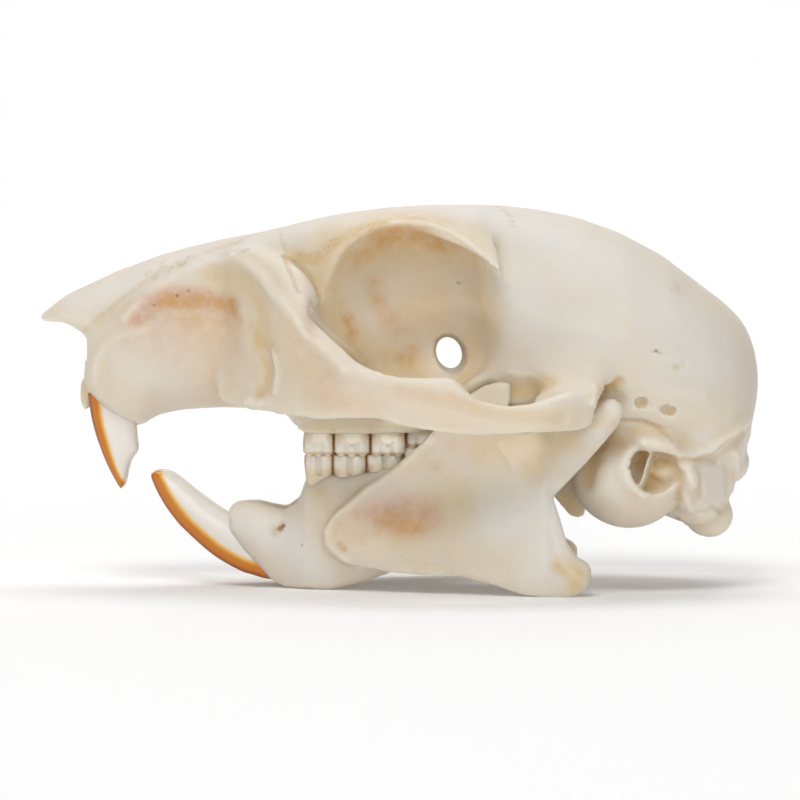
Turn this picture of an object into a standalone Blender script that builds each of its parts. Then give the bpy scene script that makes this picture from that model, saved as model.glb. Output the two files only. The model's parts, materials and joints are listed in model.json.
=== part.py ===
"""Fox squirrel skull: cranium, two lower jaw bones and twenty teeth.

Blender 4.5, metres, +Z up. The nose points to -X and the animal's left side faces -Y. The skull
stands on its lower jaw: the floor is z = 0, and x = y = 0 is the middle of the skull's box.
Lengths in this script are millimetres, and every finished mesh is scaled to metres at the end.
"""

import math

import bmesh
import bpy
import numpy as np
from mathutils import Matrix, Vector

MILLIMETRE = 0.001
RING_SIDES = 28
STRAP_SIDES = 16
TOOTH_SIDES = 10
VOXEL = 0.42
CRANIUM_TRIANGLES = 4200
JAW_TRIANGLES = 780
SAME_POINT = 0.004
SLIVER = 0.002
ON_FLOOR = 0.001

# Driving dimensions: the smoothing takes half a millimetre off the tip of the nose
SOCKET_GAP = 0.34
NOSE_X = -33.5
OCCIPUT_X = 33.05
UPPER_GUM_Z = 14.5
LOWER_GUM_Z = 10.7
BITE_Z = 12.45

BONE = ("bone", (0.87, 0.83, 0.76), 0.45)
CHEEK_ENAMEL = ("cheek_enamel", (0.90, 0.88, 0.84), 0.25)
INCISOR_ENAMEL = ("incisor_enamel", (0.78, 0.36, 0.05), 0.28)


def material(finish):
    """The material of a finish: its name, colour and roughness."""
    name, colour, roughness = finish
    found = bpy.data.materials.get(name)
    if found:
        return found
    made = bpy.data.materials.new(name)
    made.use_nodes = True
    shader = made.node_tree.nodes["Principled BSDF"]
    shader.inputs["Base Color"].default_value = (*colour, 1.0)
    shader.inputs["Roughness"].default_value = roughness
    shader.inputs["Metallic"].default_value = 0.0
    return made


def signed_power(value, power):
    return math.copysign(abs(value) ** power, value)


def section(centre, across, up, down, square_up=2.0, square_down=2.0):
    """A closed cross-section: a rounded outline about centre, from three half-axis vectors."""
    return (Vector(centre), Vector(across), Vector(up), Vector(down), square_up, square_down)


def upright(x, half_width, top, bottom, widest, square_up=2.0, square_down=2.0, y=0.0):
    """A section in the plane of x, symmetric about y, whose widest level is given."""
    return section((x, y, widest), (0, half_width, 0), (0, 0, top - widest),
                   (0, 0, bottom - widest), square_up, square_down)


def strap_section(x, y, top, bottom, thickness, square=3.0, lean=0.0):
    """A flat section of a bony strap or plate; lean moves its top towards the middle plane."""
    half = Vector((0, lean / 2, (top - bottom) / 2))
    return section((x, y + lean / 2, (top + bottom) / 2), (0, thickness / 2, 0), half, -half,
                   square, square)


def section_point(shape, angle):
    centre, across, up, down, square_up, square_down = shape
    rises = math.sin(angle) >= 0
    power = 2.0 / (square_up if rises else square_down)
    vertical = up if rises else down
    return (centre + across * signed_power(math.cos(angle), power)
            + vertical * abs(signed_power(math.sin(angle), power)))


def loft(sections, sides=RING_SIDES):
    """A closed skin through the sections, with its ends filled."""
    bm = bmesh.new()
    turns = [2 * math.pi * k / sides for k in range(sides)]
    rings = [[bm.verts.new(section_point(shape, turn)) for turn in turns] for shape in sections]
    for near, far in zip(rings, rings[1:]):
        for k in range(sides):
            following = (k + 1) % sides
            bm.faces.new((near[k], near[following], far[following], far[k]))
    for ring in (rings[0], rings[-1]):
        bm.faces.new(ring)
    bmesh.ops.triangulate(bm, faces=[f for f in bm.faces if len(f.verts) > 4])
    bmesh.ops.recalc_face_normals(bm, faces=bm.faces)
    return bm


def ellipsoid(centre, radii, turn_y=0.0, turn_z=0.0, detail=3):
    """A closed ellipsoid, turned about Y and then about Z, in degrees."""
    bm = bmesh.new()
    placed = (Matrix.Translation(centre) @ Matrix.Rotation(math.radians(turn_z), 4, "Z")
              @ Matrix.Rotation(math.radians(turn_y), 4, "Y") @ Matrix.Diagonal((*radii, 1.0)))
    bmesh.ops.create_icosphere(bm, subdivisions=detail, radius=1.0, matrix=placed)
    return bm


def tube(path, sides=STRAP_SIDES, normal=(0, 1, 0), early=0.0):
    """A skin along path, whose entries are a point, the half-width along normal and the other.

    A positive early starts the skin that far before the first point.
    """
    points = [Vector(entry[0]) for entry in path]
    points[0] -= (points[1] - points[0]).normalized() * early
    side = Vector(normal).normalized()
    sections = []
    for k, (_, along_normal, along_other) in enumerate(path):
        ahead = points[min(k + 1, len(points) - 1)] - points[max(k - 1, 0)]
        other = ahead.cross(side).normalized()
        sections.append(section(points[k], side * along_normal, other * along_other,
                                -other * along_other))
    return loft(sections, sides)


def mirrored(bm):
    """The same shape on the other side of the skull."""
    twin = bm.copy()
    bmesh.ops.scale(twin, vec=(1, -1, 1), verts=twin.verts)
    bmesh.ops.reverse_faces(twin, faces=twin.faces)
    return twin


def both_sides(shapes):
    return shapes + [mirrored(shape) for shape in shapes]


def add(thing, shapes):
    """Adds the given shapes to an object as separate bodies."""
    joined = bmesh.new()
    joined.from_mesh(thing.data)
    for shape in shapes:
        piece = bpy.data.meshes.new("piece")
        shape.to_mesh(piece)
        shape.free()
        joined.from_mesh(piece)
        bpy.data.meshes.remove(piece)
    joined.to_mesh(thing.data)
    joined.free()


def as_object(name, shapes):
    """One object that holds the given shapes as separate bodies."""
    made = bpy.data.objects.new(name, bpy.data.meshes.new(name))
    bpy.context.scene.collection.objects.link(made)
    add(made, shapes)
    return made


def settle(thing):
    """Applies the modifiers of an object to its mesh."""
    graph = bpy.context.evaluated_depsgraph_get()
    done = bpy.data.meshes.new_from_object(thing.evaluated_get(graph))
    thing.modifiers.clear()
    old = thing.data
    thing.data = done
    bpy.data.meshes.remove(old)


def fuse(thing, voxel=VOXEL, smoothing=4):
    """Melts the bodies of an object into one and softens the joins."""
    remesh = thing.modifiers.new("melt", "REMESH")
    remesh.mode = "VOXEL"
    remesh.voxel_size = voxel
    remesh.use_smooth_shade = True
    soften = thing.modifiers.new("soften", "SMOOTH")
    soften.factor = 0.5
    soften.iterations = smoothing
    settle(thing)


def cut(thing, cutters):
    """Takes each cutter shape away from an object."""
    for cutter_shape in cutters:
        cutter = as_object("cutter", [cutter_shape])
        cutter.hide_render = True
        cutter.display_type = "WIRE"
        boolean = thing.modifiers.new("cut", "BOOLEAN")
        boolean.operation = "DIFFERENCE"
        boolean.solver = "EXACT"
        boolean.object = cutter
        settle(thing)
        bpy.data.objects.remove(cutter)


def thin_out(thing, triangles):
    """Reduces an object to about the given number of triangles."""
    now = sum(len(face.vertices) - 2 for face in thing.data.polygons)
    decimate = thing.modifiers.new("thin_out", "DECIMATE")
    decimate.ratio = min(1.0, triangles / now)
    settle(thing)


def keep_largest(bm):
    """Deletes every loose crumb, so that only the largest body is left."""
    bodies = []
    waiting = set(bm.verts)
    while waiting:
        border = [waiting.pop()]
        body = []
        while border:
            vert = border.pop()
            body.append(vert)
            found = {edge.other_vert(vert) for edge in vert.link_edges} & waiting
            waiting -= found
            border += found
        bodies.append(body)
    bodies.sort(key=len)
    for crumb in bodies[:-1]:
        bmesh.ops.delete(bm, geom=crumb, context="VERTS")


def stroke(thing, path, radius, height, toward):
    """Raises the surface along a path, or presses it in where height is negative.

    The push fades to nothing at radius from the path, and only the surface that faces the
    direction toward is moved, so the far side of a thin plate stays where it is.
    """
    mesh = thing.data
    places = np.empty(len(mesh.vertices) * 3)
    normals = np.empty(len(mesh.vertices) * 3)
    mesh.vertices.foreach_get("co", places)
    mesh.vertices.foreach_get("normal", normals)
    places = places.reshape(-1, 3)
    normals = normals.reshape(-1, 3)
    nearest = np.full(len(places), np.inf)
    for start, end in zip(path, path[1:]):
        start, run = np.array(start), np.array(end) - np.array(start)
        along = np.clip((places - start) @ run / (run @ run), 0.0, 1.0)
        nearest = np.minimum(nearest, np.linalg.norm(places - start - along[:, None] * run, axis=1))
    direction = np.array(toward) / np.linalg.norm(toward)
    fade = 0.5 + 0.5 * np.cos(np.pi * np.minimum(nearest / radius, 1.0))
    push = height * fade * np.clip(normals @ direction, 0.0, 1.0)
    places += push[:, None] * direction
    mesh.vertices.foreach_set("co", places.ravel())
    mesh.update()


def stroke_both(thing, path, radius, height, toward):
    """The same stroke on the left and the right side."""
    for side in (1, -1):
        stroke(thing, [(x, y * side, z) for x, y, z in path], radius, height,
               (toward[0], toward[1] * side, toward[2]))


def stand_flat(thing):
    """Cuts off what reaches below the floor, which leaves flat feet."""
    bm = bmesh.new()
    bm.from_mesh(thing.data)
    bmesh.ops.bisect_plane(bm, geom=bm.verts[:] + bm.edges[:] + bm.faces[:], dist=ON_FLOOR,
                           plane_co=(0, 0, 0), plane_no=(0, 0, 1), clear_inner=True)
    rim = [edge for edge in bm.edges if edge.is_boundary]
    bmesh.ops.edgeloop_fill(bm, edges=rim)
    bm.to_mesh(thing.data)
    bm.free()


def finish(thing, finish_name):
    """Keeps the one body of an object, scales it to metres and gives it its material."""
    bm = bmesh.new()
    bm.from_mesh(thing.data)
    bmesh.ops.remove_doubles(bm, verts=bm.verts, dist=SAME_POINT)
    bmesh.ops.dissolve_degenerate(bm, edges=bm.edges, dist=SLIVER)
    keep_largest(bm)
    bmesh.ops.triangulate(bm, faces=bm.faces)
    bmesh.ops.recalc_face_normals(bm, faces=bm.faces)
    bmesh.ops.scale(bm, vec=(MILLIMETRE,) * 3, verts=bm.verts)
    bm.to_mesh(thing.data)
    bm.free()
    thing.data.materials.clear()
    thing.data.materials.append(material(finish_name))
    thing.data.shade_smooth()
    return thing


def right_copy(thing):
    """The mirrored twin of a left piece."""
    twin = bpy.data.objects.new(thing.name.replace("left", "right"), thing.data.copy())
    bpy.context.scene.collection.objects.link(twin)
    bm = bmesh.new()
    bm.from_mesh(twin.data)
    bmesh.ops.scale(bm, vec=(1, -1, 1), verts=bm.verts)
    bmesh.ops.reverse_faces(bm, faces=bm.faces)
    bm.to_mesh(twin.data)
    bm.free()


def braincase():
    """Frontals, parietals and occiput as one bulging body."""
    return loft([
        upright(-14.5, 5.6, 32.2, 24.0, 29.5, 2.6, 2.0),
        upright(-11.5, 7.0, 32.85, 20.0, 30.0, 2.8, 2.0),
        upright(-8.5, 8.4, 33.65, 18.0, 31.2, 2.9, 2.0),
        upright(-5.0, 9.6, 34.35, 17.0, 31.8, 2.7, 2.0),
        upright(-1.0, 10.1, 34.85, 16.5, 32.4, 2.6, 2.0),
        upright(3.0, 10.1, 35.1, 16.0, 32.4, 2.5, 2.0),
        upright(6.5, 10.0, 35.1, 15.0, 31.2, 2.4, 2.0),
        upright(9.5, 10.0, 35.05, 13.6, 28.0, 2.35, 2.0),
        upright(12.5, 10.7, 34.7, 12.2, 24.5, 2.3, 1.9),
        upright(16.0, 12.0, 34.05, 11.0, 21.5, 2.15, 1.9),
        upright(20.0, 12.7, 32.65, 10.0, 20.0, 2.1, 1.9),
        upright(24.0, 12.5, 30.55, 9.0, 18.5, 2.1, 1.9),
        upright(27.5, 11.5, 27.9, 8.2, 17.2, 2.15, 2.1),
        upright(29.8, 10.1, 26.15, 8.6, 16.6, 2.2, 2.2),
        upright(31.2, 8.5, 24.9, 9.8, 16.8, 2.1, 2.2),
        upright(32.0, 7.2, 23.9, 13.0, 17.6, 2.0, 2.1),
        upright(32.7, 5.4, 22.4, 15.6, 18.6),
        upright(OCCIPUT_X, 3.2, 20.7, 17.2, 18.9),
    ])


def rostrum():
    """Premaxillae and the front of the maxillae, from the nose opening to the orbits."""
    return loft([
        upright(-28.75, 2.9, 24.0, 18.6, 20.6, 2.6, 2.2),
        upright(-28.2, 3.9, 27.4, 17.5, 20.8, 2.5, 2.2),
        upright(-27.4, 4.5, 28.4, 16.3, 21.0, 2.5, 2.3),
        upright(-26.4, 4.8, 28.9, 15.6, 21.3, 2.5, 2.3),
        upright(-25.4, 5.0, 29.3, 15.0, 21.6, 2.5, 2.3),
        upright(-24.2, 5.2, 29.7, 14.6, 22.0, 2.5, 2.2),
        upright(-23.4, 5.3, 30.0, 15.0, 22.2, 2.5, 2.2),
        upright(-22.4, 5.4, 30.4, 15.7, 22.5, 2.5, 2.1),
        upright(-20.0, 5.7, 31.1, 16.2, 23.0, 2.4, 2.1),
        upright(-16.5, 6.1, 31.95, 16.4, 24.0, 2.4, 2.1),
        upright(-13.0, 6.9, 32.6, 16.3, 24.5, 2.4, 2.2),
        upright(-9.0, 7.6, 33.5, 15.8, 25.5, 2.4, 2.2),
        upright(-6.0, 7.6, 33.9, 15.6, 27.5, 2.4, 2.2),
    ])


def nasals():
    """The roof of the nose, which overhangs the nose opening."""
    return loft([
        section((NOSE_X, 0, 24.7), (0, 1.4, 0), (0, 0, 0.15), (0, 0, -0.3)),
        section((-32.3, 0, 24.75), (0, 2.7, 0), (0, 0, 0.85), (0, 0, -0.5), 2.4),
        section((-31.0, 0, 24.8), (0, 3.7, 0), (0, 0, 1.8), (0, 0, -0.7), 2.4),
        section((-29.6, 0, 24.6), (0, 4.2, 0), (0, 0, 2.75), (0, 0, -1.2), 2.4),
        section((-28.2, 0, 24.6), (0, 4.4, 0), (0, 0, 3.4), (0, 0, -1.6), 2.4),
        section((-26.0, 0, 25.0), (0, 4.4, 0), (0, 0, 4.0), (0, 0, -2.0), 2.4),
    ])


def tooth_bearing_maxilla():
    """The block that carries the upper cheek teeth and the palate."""
    return loft([
        upright(-10.2, 6.2, 19.0, 15.3, 17.5, 2.6, 3.0),
        upright(-9.0, 6.9, 18.8, UPPER_GUM_Z, 16.8, 2.8, 4.0),
        upright(-6.0, 7.4, 18.4, UPPER_GUM_Z, 16.6, 2.8, 4.0),
        upright(-1.0, 7.5, 18.2, UPPER_GUM_Z, 16.4, 2.8, 4.0),
        upright(3.0, 7.2, 18.0, UPPER_GUM_Z + 0.1, 16.3, 2.8, 4.0),
        upright(4.8, 6.2, 17.6, UPPER_GUM_Z + 0.4, 16.2, 2.4, 3.0),
        upright(6.0, 4.6, 17.0, 15.0, 16.0),
    ], STRAP_SIDES)


def sphenoid_bar():
    """The keel of the skull base, from the palate to the foramen magnum."""
    return loft([
        upright(4.0, 2.4, 19.0, 15.2, 17.0),
        upright(8.0, 2.7, 18.5, 13.4, 16.0),
        upright(12.0, 4.0, 17.0, 11.2, 14.0),
        upright(17.0, 5.0, 15.0, 9.2, 12.0),
        upright(22.0, 5.5, 13.0, 7.4, 10.5),
        upright(26.0, 5.4, 11.5, 5.8, 9.0),
        upright(27.6, 5.0, 10.5, 5.6, 8.2),
    ], STRAP_SIDES)


def zygomatic_arch():
    """Cheek plate and arch, from the side of the nose to the root above the jaw joint."""
    return loft([
        strap_section(-16.6, -4.9, 29.8, 17.4, 1.4),
        strap_section(-15.2, -5.9, 30.2, 16.6, 2.0, lean=0.3),
        strap_section(-13.8, -7.5, 29.6, 16.4, 2.2, lean=0.6),
        strap_section(-12.3, -9.3, 28.4, 16.3, 2.2, lean=0.9),
        strap_section(-10.8, -11.1, 27.0, 16.1, 2.2, lean=1.4),
        strap_section(-9.2, -12.8, 25.8, 16.0, 2.1, lean=2.0),
        strap_section(-7.4, -14.2, 24.3, 15.8, 2.0, lean=2.2),
        strap_section(-5.6, -15.3, 22.7, 15.9, 1.9, lean=1.9),
        strap_section(-3.9, -16.0, 21.1, 16.0, 1.8, lean=1.2),
        strap_section(-2.1, -16.5, 20.2, 16.0, 1.7, lean=0.7),
        strap_section(-0.4, -16.9, 19.8, 15.6, 1.6, lean=0.3),
        strap_section(2.0, -17.3, 19.7, 15.1, 1.6),
        strap_section(4.4, -17.6, 19.8, 14.8, 1.6),
        strap_section(5.2, -17.7, 19.2, 14.7, 1.6),
        strap_section(6.6, -17.8, 17.8, 14.65, 1.6),
        strap_section(9.2, -17.8, 17.2, 14.75, 1.6),
        strap_section(11.4, -17.6, 17.4, 14.9, 1.8),
        strap_section(13.2, -16.8, 18.4, 15.0, 2.6),
        strap_section(14.8, -15.6, 19.2, 15.2, 3.2),
        strap_section(16.2, -14.6, 19.6, 16.0, 3.2),
    ], STRAP_SIDES)


def eye_socket_front():
    """The bone between nose, frontal and cheek plate, which the eye socket is hollowed into."""
    return loft([
        upright(-15.6, 2.0, 31.0, 17.6, 25.0, 2.4, 2.4, y=-4.4),
        upright(-13.6, 3.4, 31.4, 17.2, 25.0, 2.4, 2.4, y=-5.6),
        upright(-12.0, 4.2, 31.0, 16.8, 24.0, 2.4, 2.4, y=-6.4),
        upright(-10.2, 4.8, 30.3, 16.5, 22.8, 2.2, 2.4, y=-7.6),
        upright(-8.6, 4.6, 28.6, 16.3, 21.5, 2.2, 2.4, y=-8.8),
        upright(-7.0, 4.0, 25.8, 16.3, 20.5, 2.2, 2.4, y=-9.6),
        upright(-5.2, 3.2, 22.6, 16.4, 19.0, 2.2, 2.4, y=-10.0),
        upright(-3.4, 2.2, 20.0, 16.5, 18.2, 2.2, 2.4, y=-9.4),
        upright(-1.6, 1.0, 18.6, 16.8, 17.7, 2.0, 2.0, y=-8.6),
    ], 20)


def zygomatic_root():
    """The shelf from the braincase to the arch, which roofs the jaw joint."""
    return loft([
        section((15.6, -9.5, 19.6), (3.6, 0, 0.4), (0, 0, 2.2), (0, 0, -2.2)),
        section((15.4, -12.0, 19.2), (2.9, 0, 0.4), (0, 0, 1.5), (0, 0, -1.2)),
        section((15.0, -14.2, 18.3), (2.3, 0, 0.5), (0, 0, 1.0), (0, 0, -1.2)),
        section((14.2, -16.0, 17.3), (2.2, 0, 0.3), (0, 0, 0.9), (0, 0, -1.6)),
    ], STRAP_SIDES)


def postorbital_process():
    """The flat spine behind the eye socket, which points down, back and outwards."""
    plate_normal = Vector((0.15, -0.66, 0.74))
    stations = (
        ((3.6, -8.3, 33.0), (4.2, 0.3, -0.3), 0.8),
        ((5.4, -9.7, 32.15), (3.1, 0.2, -0.4), 0.7),
        ((6.9, -11.0, 31.15), (1.85, 0.2, -0.3), 0.55),
        ((8.0, -12.1, 30.1), (0.95, 0.1, -0.2), 0.42),
        ((8.7, -12.8, 29.1), (0.42, 0.0, -0.1), 0.32),
        ((8.95, -13.1, 28.6), (0.2, 0.0, 0.0), 0.2),
    )
    return loft([
        section(place, across, plate_normal * thick, -plate_normal * thick)
        for place, across, thick in stations
    ], STRAP_SIDES)


def lacrimal_flake():
    """The leaf of bone on the front rim of the eye socket."""
    return tube([
        ((-10.6, -8.6, 29.9), 0.6, 0.5),
        ((-9.8, -9.4, 29.0), 0.9, 1.0),
        ((-8.9, -9.9, 27.7), 0.9, 1.1),
        ((-8.1, -10.3, 26.5), 0.7, 0.8),
        ((-7.7, -10.4, 25.9), 0.4, 0.4),
    ], normal=(0.4, 1, 0))


def incisor_guard():
    """The small lip of the premaxilla in front of the root of the upper incisor."""
    return tube([
        ((-28.3, -1.5, 19.6), 1.0, 0.7),
        ((-28.75, -1.4, 18.2), 0.9, 0.5),
        ((-29.0, -1.35, 17.2), 0.7, 0.35),
        ((-28.95, -1.3, 16.5), 0.45, 0.22),
    ])


def ear_hood():
    """The rounded lip above the ear opening."""
    return ellipsoid((22.8, -10.9, 13.9), (2.1, 1.9, 1.25), turn_y=8)


def mastoid_knob():
    return ellipsoid((26.0, -10.9, 10.9), (0.8, 0.9, 1.4), turn_y=-15)


def ear_bulla():
    return ellipsoid((20.4, -8.0, 10.3), (5.0, 4.4, 4.45), turn_y=12, turn_z=-12)


def mastoid_block():
    """The bone between bulla and occiput."""
    return loft([
        upright(22.5, 2.6, 14.8, 9.8, 12.5, y=-9.4),
        upright(25.2, 2.2, 14.4, 7.6, 11.5, y=-9.2),
        upright(27.2, 2.2, 14.0, 6.6, 11.0, y=-8.2),
        upright(28.8, 1.8, 13.4, 7.4, 10.8, y=-6.8),
        upright(30.4, 1.2, 13.0, 9.0, 11.0, y=-5.4),
    ], STRAP_SIDES)


def occipital_condyle():
    return ellipsoid((28.4, -4.0, 6.8), (2.5, 1.75, 2.2), turn_y=35)


def pterygoid():
    """The plate beside the throat channel, which ends in a hook before the bulla."""
    return loft([
        strap_section(4.6, -3.6, 16.6, 14.6, 1.0),
        strap_section(8.5, -3.5, 15.6, 11.9, 1.0),
        strap_section(12.6, -3.6, 13.6, 10.2, 1.0),
        strap_section(14.6, -3.6, 12.6, 7.6, 1.1),
        strap_section(15.8, -3.6, 11.4, 6.3, 1.2),
        strap_section(17.0, -3.7, 9.6, 6.5, 1.0),
    ], STRAP_SIDES)


def eye_socket_cutters():
    """The hollow of the eye socket: a deep bowl and the narrower floor below it."""
    return [
        ellipsoid((0.6, -15.6, 25.9), (9.2, 11.0, 8.65), turn_z=4),
        ellipsoid((2.4, -10.2, 21.4), (6.6, 7.4, 3.6), turn_y=-4),
    ]


def optic_tunnel():
    """The opening through the wall between the eye sockets."""
    return loft([
        section((4.5, -5.5, 21.5), (2.0, 0, 0.2), (-0.3, 0, 2.2), (0.3, 0, -2.0)),
        section((4.55, -2.6, 21.45), (1.2, 0, 0.1), (-0.3, 0, 1.55), (0.3, 0, -1.55)),
        section((4.55, 2.6, 21.45), (1.2, 0, 0.1), (-0.3, 0, 1.55), (0.3, 0, -1.55)),
        section((4.5, 5.5, 21.5), (2.0, 0, 0.2), (-0.3, 0, 2.2), (0.3, 0, -2.0)),
    ], STRAP_SIDES)


def nose_front_hollow():
    """The dip in the front edge of the premaxillae, below the nose opening."""
    return ellipsoid((-30.0, 0, 20.7), (1.6, 6.0, 2.3))


def mental_foramen():
    return ellipsoid((-10.95, -4.9, 5.5), (0.45, 0.8, 0.4), turn_z=25, detail=1)


def nose_cavity():
    return loft([
        upright(-35.0, 3.2, 23.9, 18.6, 21.0),
        upright(-29.5, 3.2, 24.8, 19.0, 21.4),
        upright(-26.5, 3.5, 27.0, 19.8, 22.6),
        upright(-22.0, 3.4, 27.6, 20.4, 23.4),
        upright(-18.0, 2.0, 26.5, 21.5, 24.0),
    ], STRAP_SIDES)


def brain_cavity():
    """The inside of the braincase, with its way out through the foramen magnum."""
    return loft([
        upright(8.6, 3.0, 31.5, 24.0, 28.0),
        upright(10.5, 7.4, 33.2, 19.0, 27.0),
        upright(14.0, 9.9, 33.0, 15.6, 24.5),
        upright(18.5, 11.2, 31.9, 14.0, 21.5),
        upright(23.0, 11.3, 29.6, 12.6, 19.5),
        upright(27.0, 10.2, 26.9, 11.5, 18.0),
        upright(30.0, 7.8, 24.2, 12.4, 17.5),
        upright(30.9, 4.8, 21.8, 14.6, 18.0),
    ], 20)


def foramen_magnum():
    """The way out of the brain cavity, which faces back and a little down."""
    middle = Vector((30.6, 0, 9.7))
    outward = Vector((0.9, 0, -0.43))
    upward = Vector((0.43, 0, 0.9))
    stations = ((-6.5, 0.9), (-2.5, 1.0), (0.5, 1.0), (3.4, 1.2))
    return loft([
        section(middle + outward * along, (0, 3.3 * grow, 0), upward * 2.8 * grow,
                -upward * 2.7 * grow)
        for along, grow in stations
    ], STRAP_SIDES)


def palate_trough():
    return ellipsoid((-3.5, 0, 13.2), (11.5, 4.1, 2.4))


def throat_channel():
    return ellipsoid((8.5, 0, 13.2), (6.0, 2.5, 2.5), turn_y=12)


def jaw_joint_hollow():
    return ellipsoid((17.2, -13.1, 16.3), (3.6, 2.2, 2.3), turn_y=-25)


def cheek_tooth(row, k, grow=0.0):
    """Tooth k of a row, from its root to its worn crown; grow makes a cutter of it."""
    x_low, x_high = row["ends"][k]
    middle = (x_low + x_high) / 2
    half_length = (x_high - x_low) / 2
    half_width = row["half_width"] - (0.25 if k in (0, 3) else 0.0)
    gum, bite, root = row["gum"][k], row["bite"][k], row["root"][k]
    lean = row["y"][k]
    levels = ((root, 0.62), (gum, 0.86), (gum * 0.6 + bite * 0.4, 1.0), (bite, 0.86))
    shapes = [
        section((middle, lean, z), (half_length * size + grow, 0, 0), (0, half_width * size + grow, 0),
                (0, -half_width * size - grow, 0), 3.2, 3.2)
        for z, size in levels
    ]
    if grow:
        first, last = shapes[0], shapes[-1]
        outward = math.copysign(1.0, gum - root)
        shapes[0] = (first[0] - Vector((0, 0, grow * outward)),) + first[1:]
        shapes[-1] = (last[0] + Vector((0, 0, grow * outward)),) + last[1:]
    return loft(shapes, TOOTH_SIDES)


UPPER_ROW = {
    "ends": ((-8.6, -6.15), (-5.8, -2.85), (-2.5, 0.35), (0.7, 3.5)),
    "y": (-5.9, -6.0, -6.0, -5.8),
    "gum": (UPPER_GUM_Z,) * 3 + (UPPER_GUM_Z + 0.1,),
    "bite": (BITE_Z + 0.15,) * 3 + (BITE_Z + 0.9,),
    "root": (16.6,) * 4,
    "half_width": 1.5,
}
LOWER_ROW = {
    "ends": ((-8.5, -6.25), (-5.9, -3.2), (-2.85, 0.05), (0.45, 3.3)),
    "y": (-5.2, -5.3, -5.5, -5.7),
    "gum": (LOWER_GUM_Z, LOWER_GUM_Z, LOWER_GUM_Z + 0.5, LOWER_GUM_Z + 1.4),
    "bite": (BITE_Z - 0.2, BITE_Z - 0.2, BITE_Z - 0.15, BITE_Z + 0.5),
    "root": (8.8, 8.8, 9.4, 10.4),
    "half_width": 1.3,
}
TOOTH_NAMES = ("premolar", "molar_1", "molar_2", "molar_3")


def upper_incisor(grow=0.0):
    """The curved upper incisor, from inside the premaxilla to its chisel tip."""
    half_width = 0.8 + grow
    return tube([
        ((-25.2, -1.32, 18.0), half_width * 0.8, 0.9 + grow),
        ((-26.15, -1.3, 16.9), half_width, 1.6 + grow),
        ((-26.6, -1.22, 15.4), half_width, 2.0 + grow),
        ((-26.4, -1.12, 13.6), half_width, 1.95 + grow),
        ((-26.15, -1.06, 12.2), half_width, 1.45 + grow),
        ((-25.8, -1.0, 10.6), half_width, 0.95 + grow),
        ((-25.45, -0.97, 9.2), half_width * 0.92, 0.35 + grow),
    ], TOOTH_SIDES, early=grow * 1.3)


def lower_incisor(grow=0.0):
    """The long lower incisor, from inside the jaw to its chisel tip."""
    half_width = 0.75 + grow
    return tube([
        ((-11.2, -2.6, 3.4), half_width * 0.9, 0.9 + grow),
        ((-13.6, -2.15, 3.6), half_width, 1.5 + grow),
        ((-15.7, -1.75, 4.65), half_width, 1.85 + grow),
        ((-17.6, -1.4, 5.8), half_width, 1.8 + grow),
        ((-19.4, -1.15, 7.1), half_width, 1.6 + grow),
        ((-21.0, -1.0, 8.6), half_width, 1.2 + grow),
        ((-22.15, -0.95, 9.95), half_width * 0.95, 0.7 + grow),
        ((-22.7, -0.93, 10.6), half_width * 0.85, 0.25 + grow),
    ], TOOTH_SIDES, early=grow * 1.3)


def jaw_body():
    """The thick bar of a lower jaw bone that holds the incisor and the cheek teeth."""
    return loft([
        upright(-15.7, 1.15, 7.3, 5.2, 6.3, y=-1.65),
        upright(-15.0, 1.4, 7.7, 4.1, 6.0, y=-1.75),
        upright(-14.2, 1.6, 7.8, 3.1, 5.6, y=-1.95),
        upright(-13.0, 1.85, 7.8, 1.8, 4.8, y=-2.25),
        upright(-11.9, 1.9, 7.5, 0.7, 4.5, y=-2.5),
        upright(-10.5, 2.1, 7.2, 0.0, 4.2, y=-2.9),
        upright(-9.3, 2.3, 8.0, -0.2, 4.2, 2.3, 2.0, y=-3.5),
        upright(-8.5, 2.4, 10.3, -0.25, 4.4, 3.0, 2.0, y=-4.0),
        upright(-6.2, 2.5, LOWER_GUM_Z, -0.15, 5.0, 3.2, 2.0, y=-4.7),
        upright(-3.2, 2.4, LOWER_GUM_Z + 0.1, 0.7, 6.0, 3.2, 2.0, y=-5.1),
        upright(0.0, 2.2, LOWER_GUM_Z + 0.7, 1.9, 7.2, 3.2, 1.9, y=-5.6),
        upright(3.2, 1.8, LOWER_GUM_Z + 1.7, 3.2, 8.6, 3.0, 1.8, y=-6.2),
        upright(5.0, 1.2, LOWER_GUM_Z + 1.6, 5.5, 9.4, 2.4, 1.8, y=-7.4),
    ], 20)


def jaw_ramus():
    """The upright blade behind the teeth, whose front edge is the crest of the chewing muscle."""
    return loft([
        strap_section(-6.9, -7.0, 5.6, 3.8, 1.2),
        strap_section(-5.4, -7.5, 7.6, 2.9, 1.7),
        strap_section(-3.0, -8.0, 9.8, 2.2, 1.8),
        strap_section(-0.6, -8.4, 11.4, 1.9, 1.7),
        strap_section(2.0, -9.1, 13.6, 1.7, 1.5),
        strap_section(4.5, -10.1, 16.4, 1.75, 1.35),
        strap_section(6.1, -10.8, 17.6, 1.5, 1.25),
        strap_section(7.8, -11.4, 16.6, 1.1, 1.25),
        strap_section(9.6, -11.9, 15.2, 0.7, 1.25),
        strap_section(11.4, -12.2, 14.6, 0.2, 1.25),
        strap_section(12.9, -12.5, 14.4, -0.2, 1.3),
    ], STRAP_SIDES)


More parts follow.
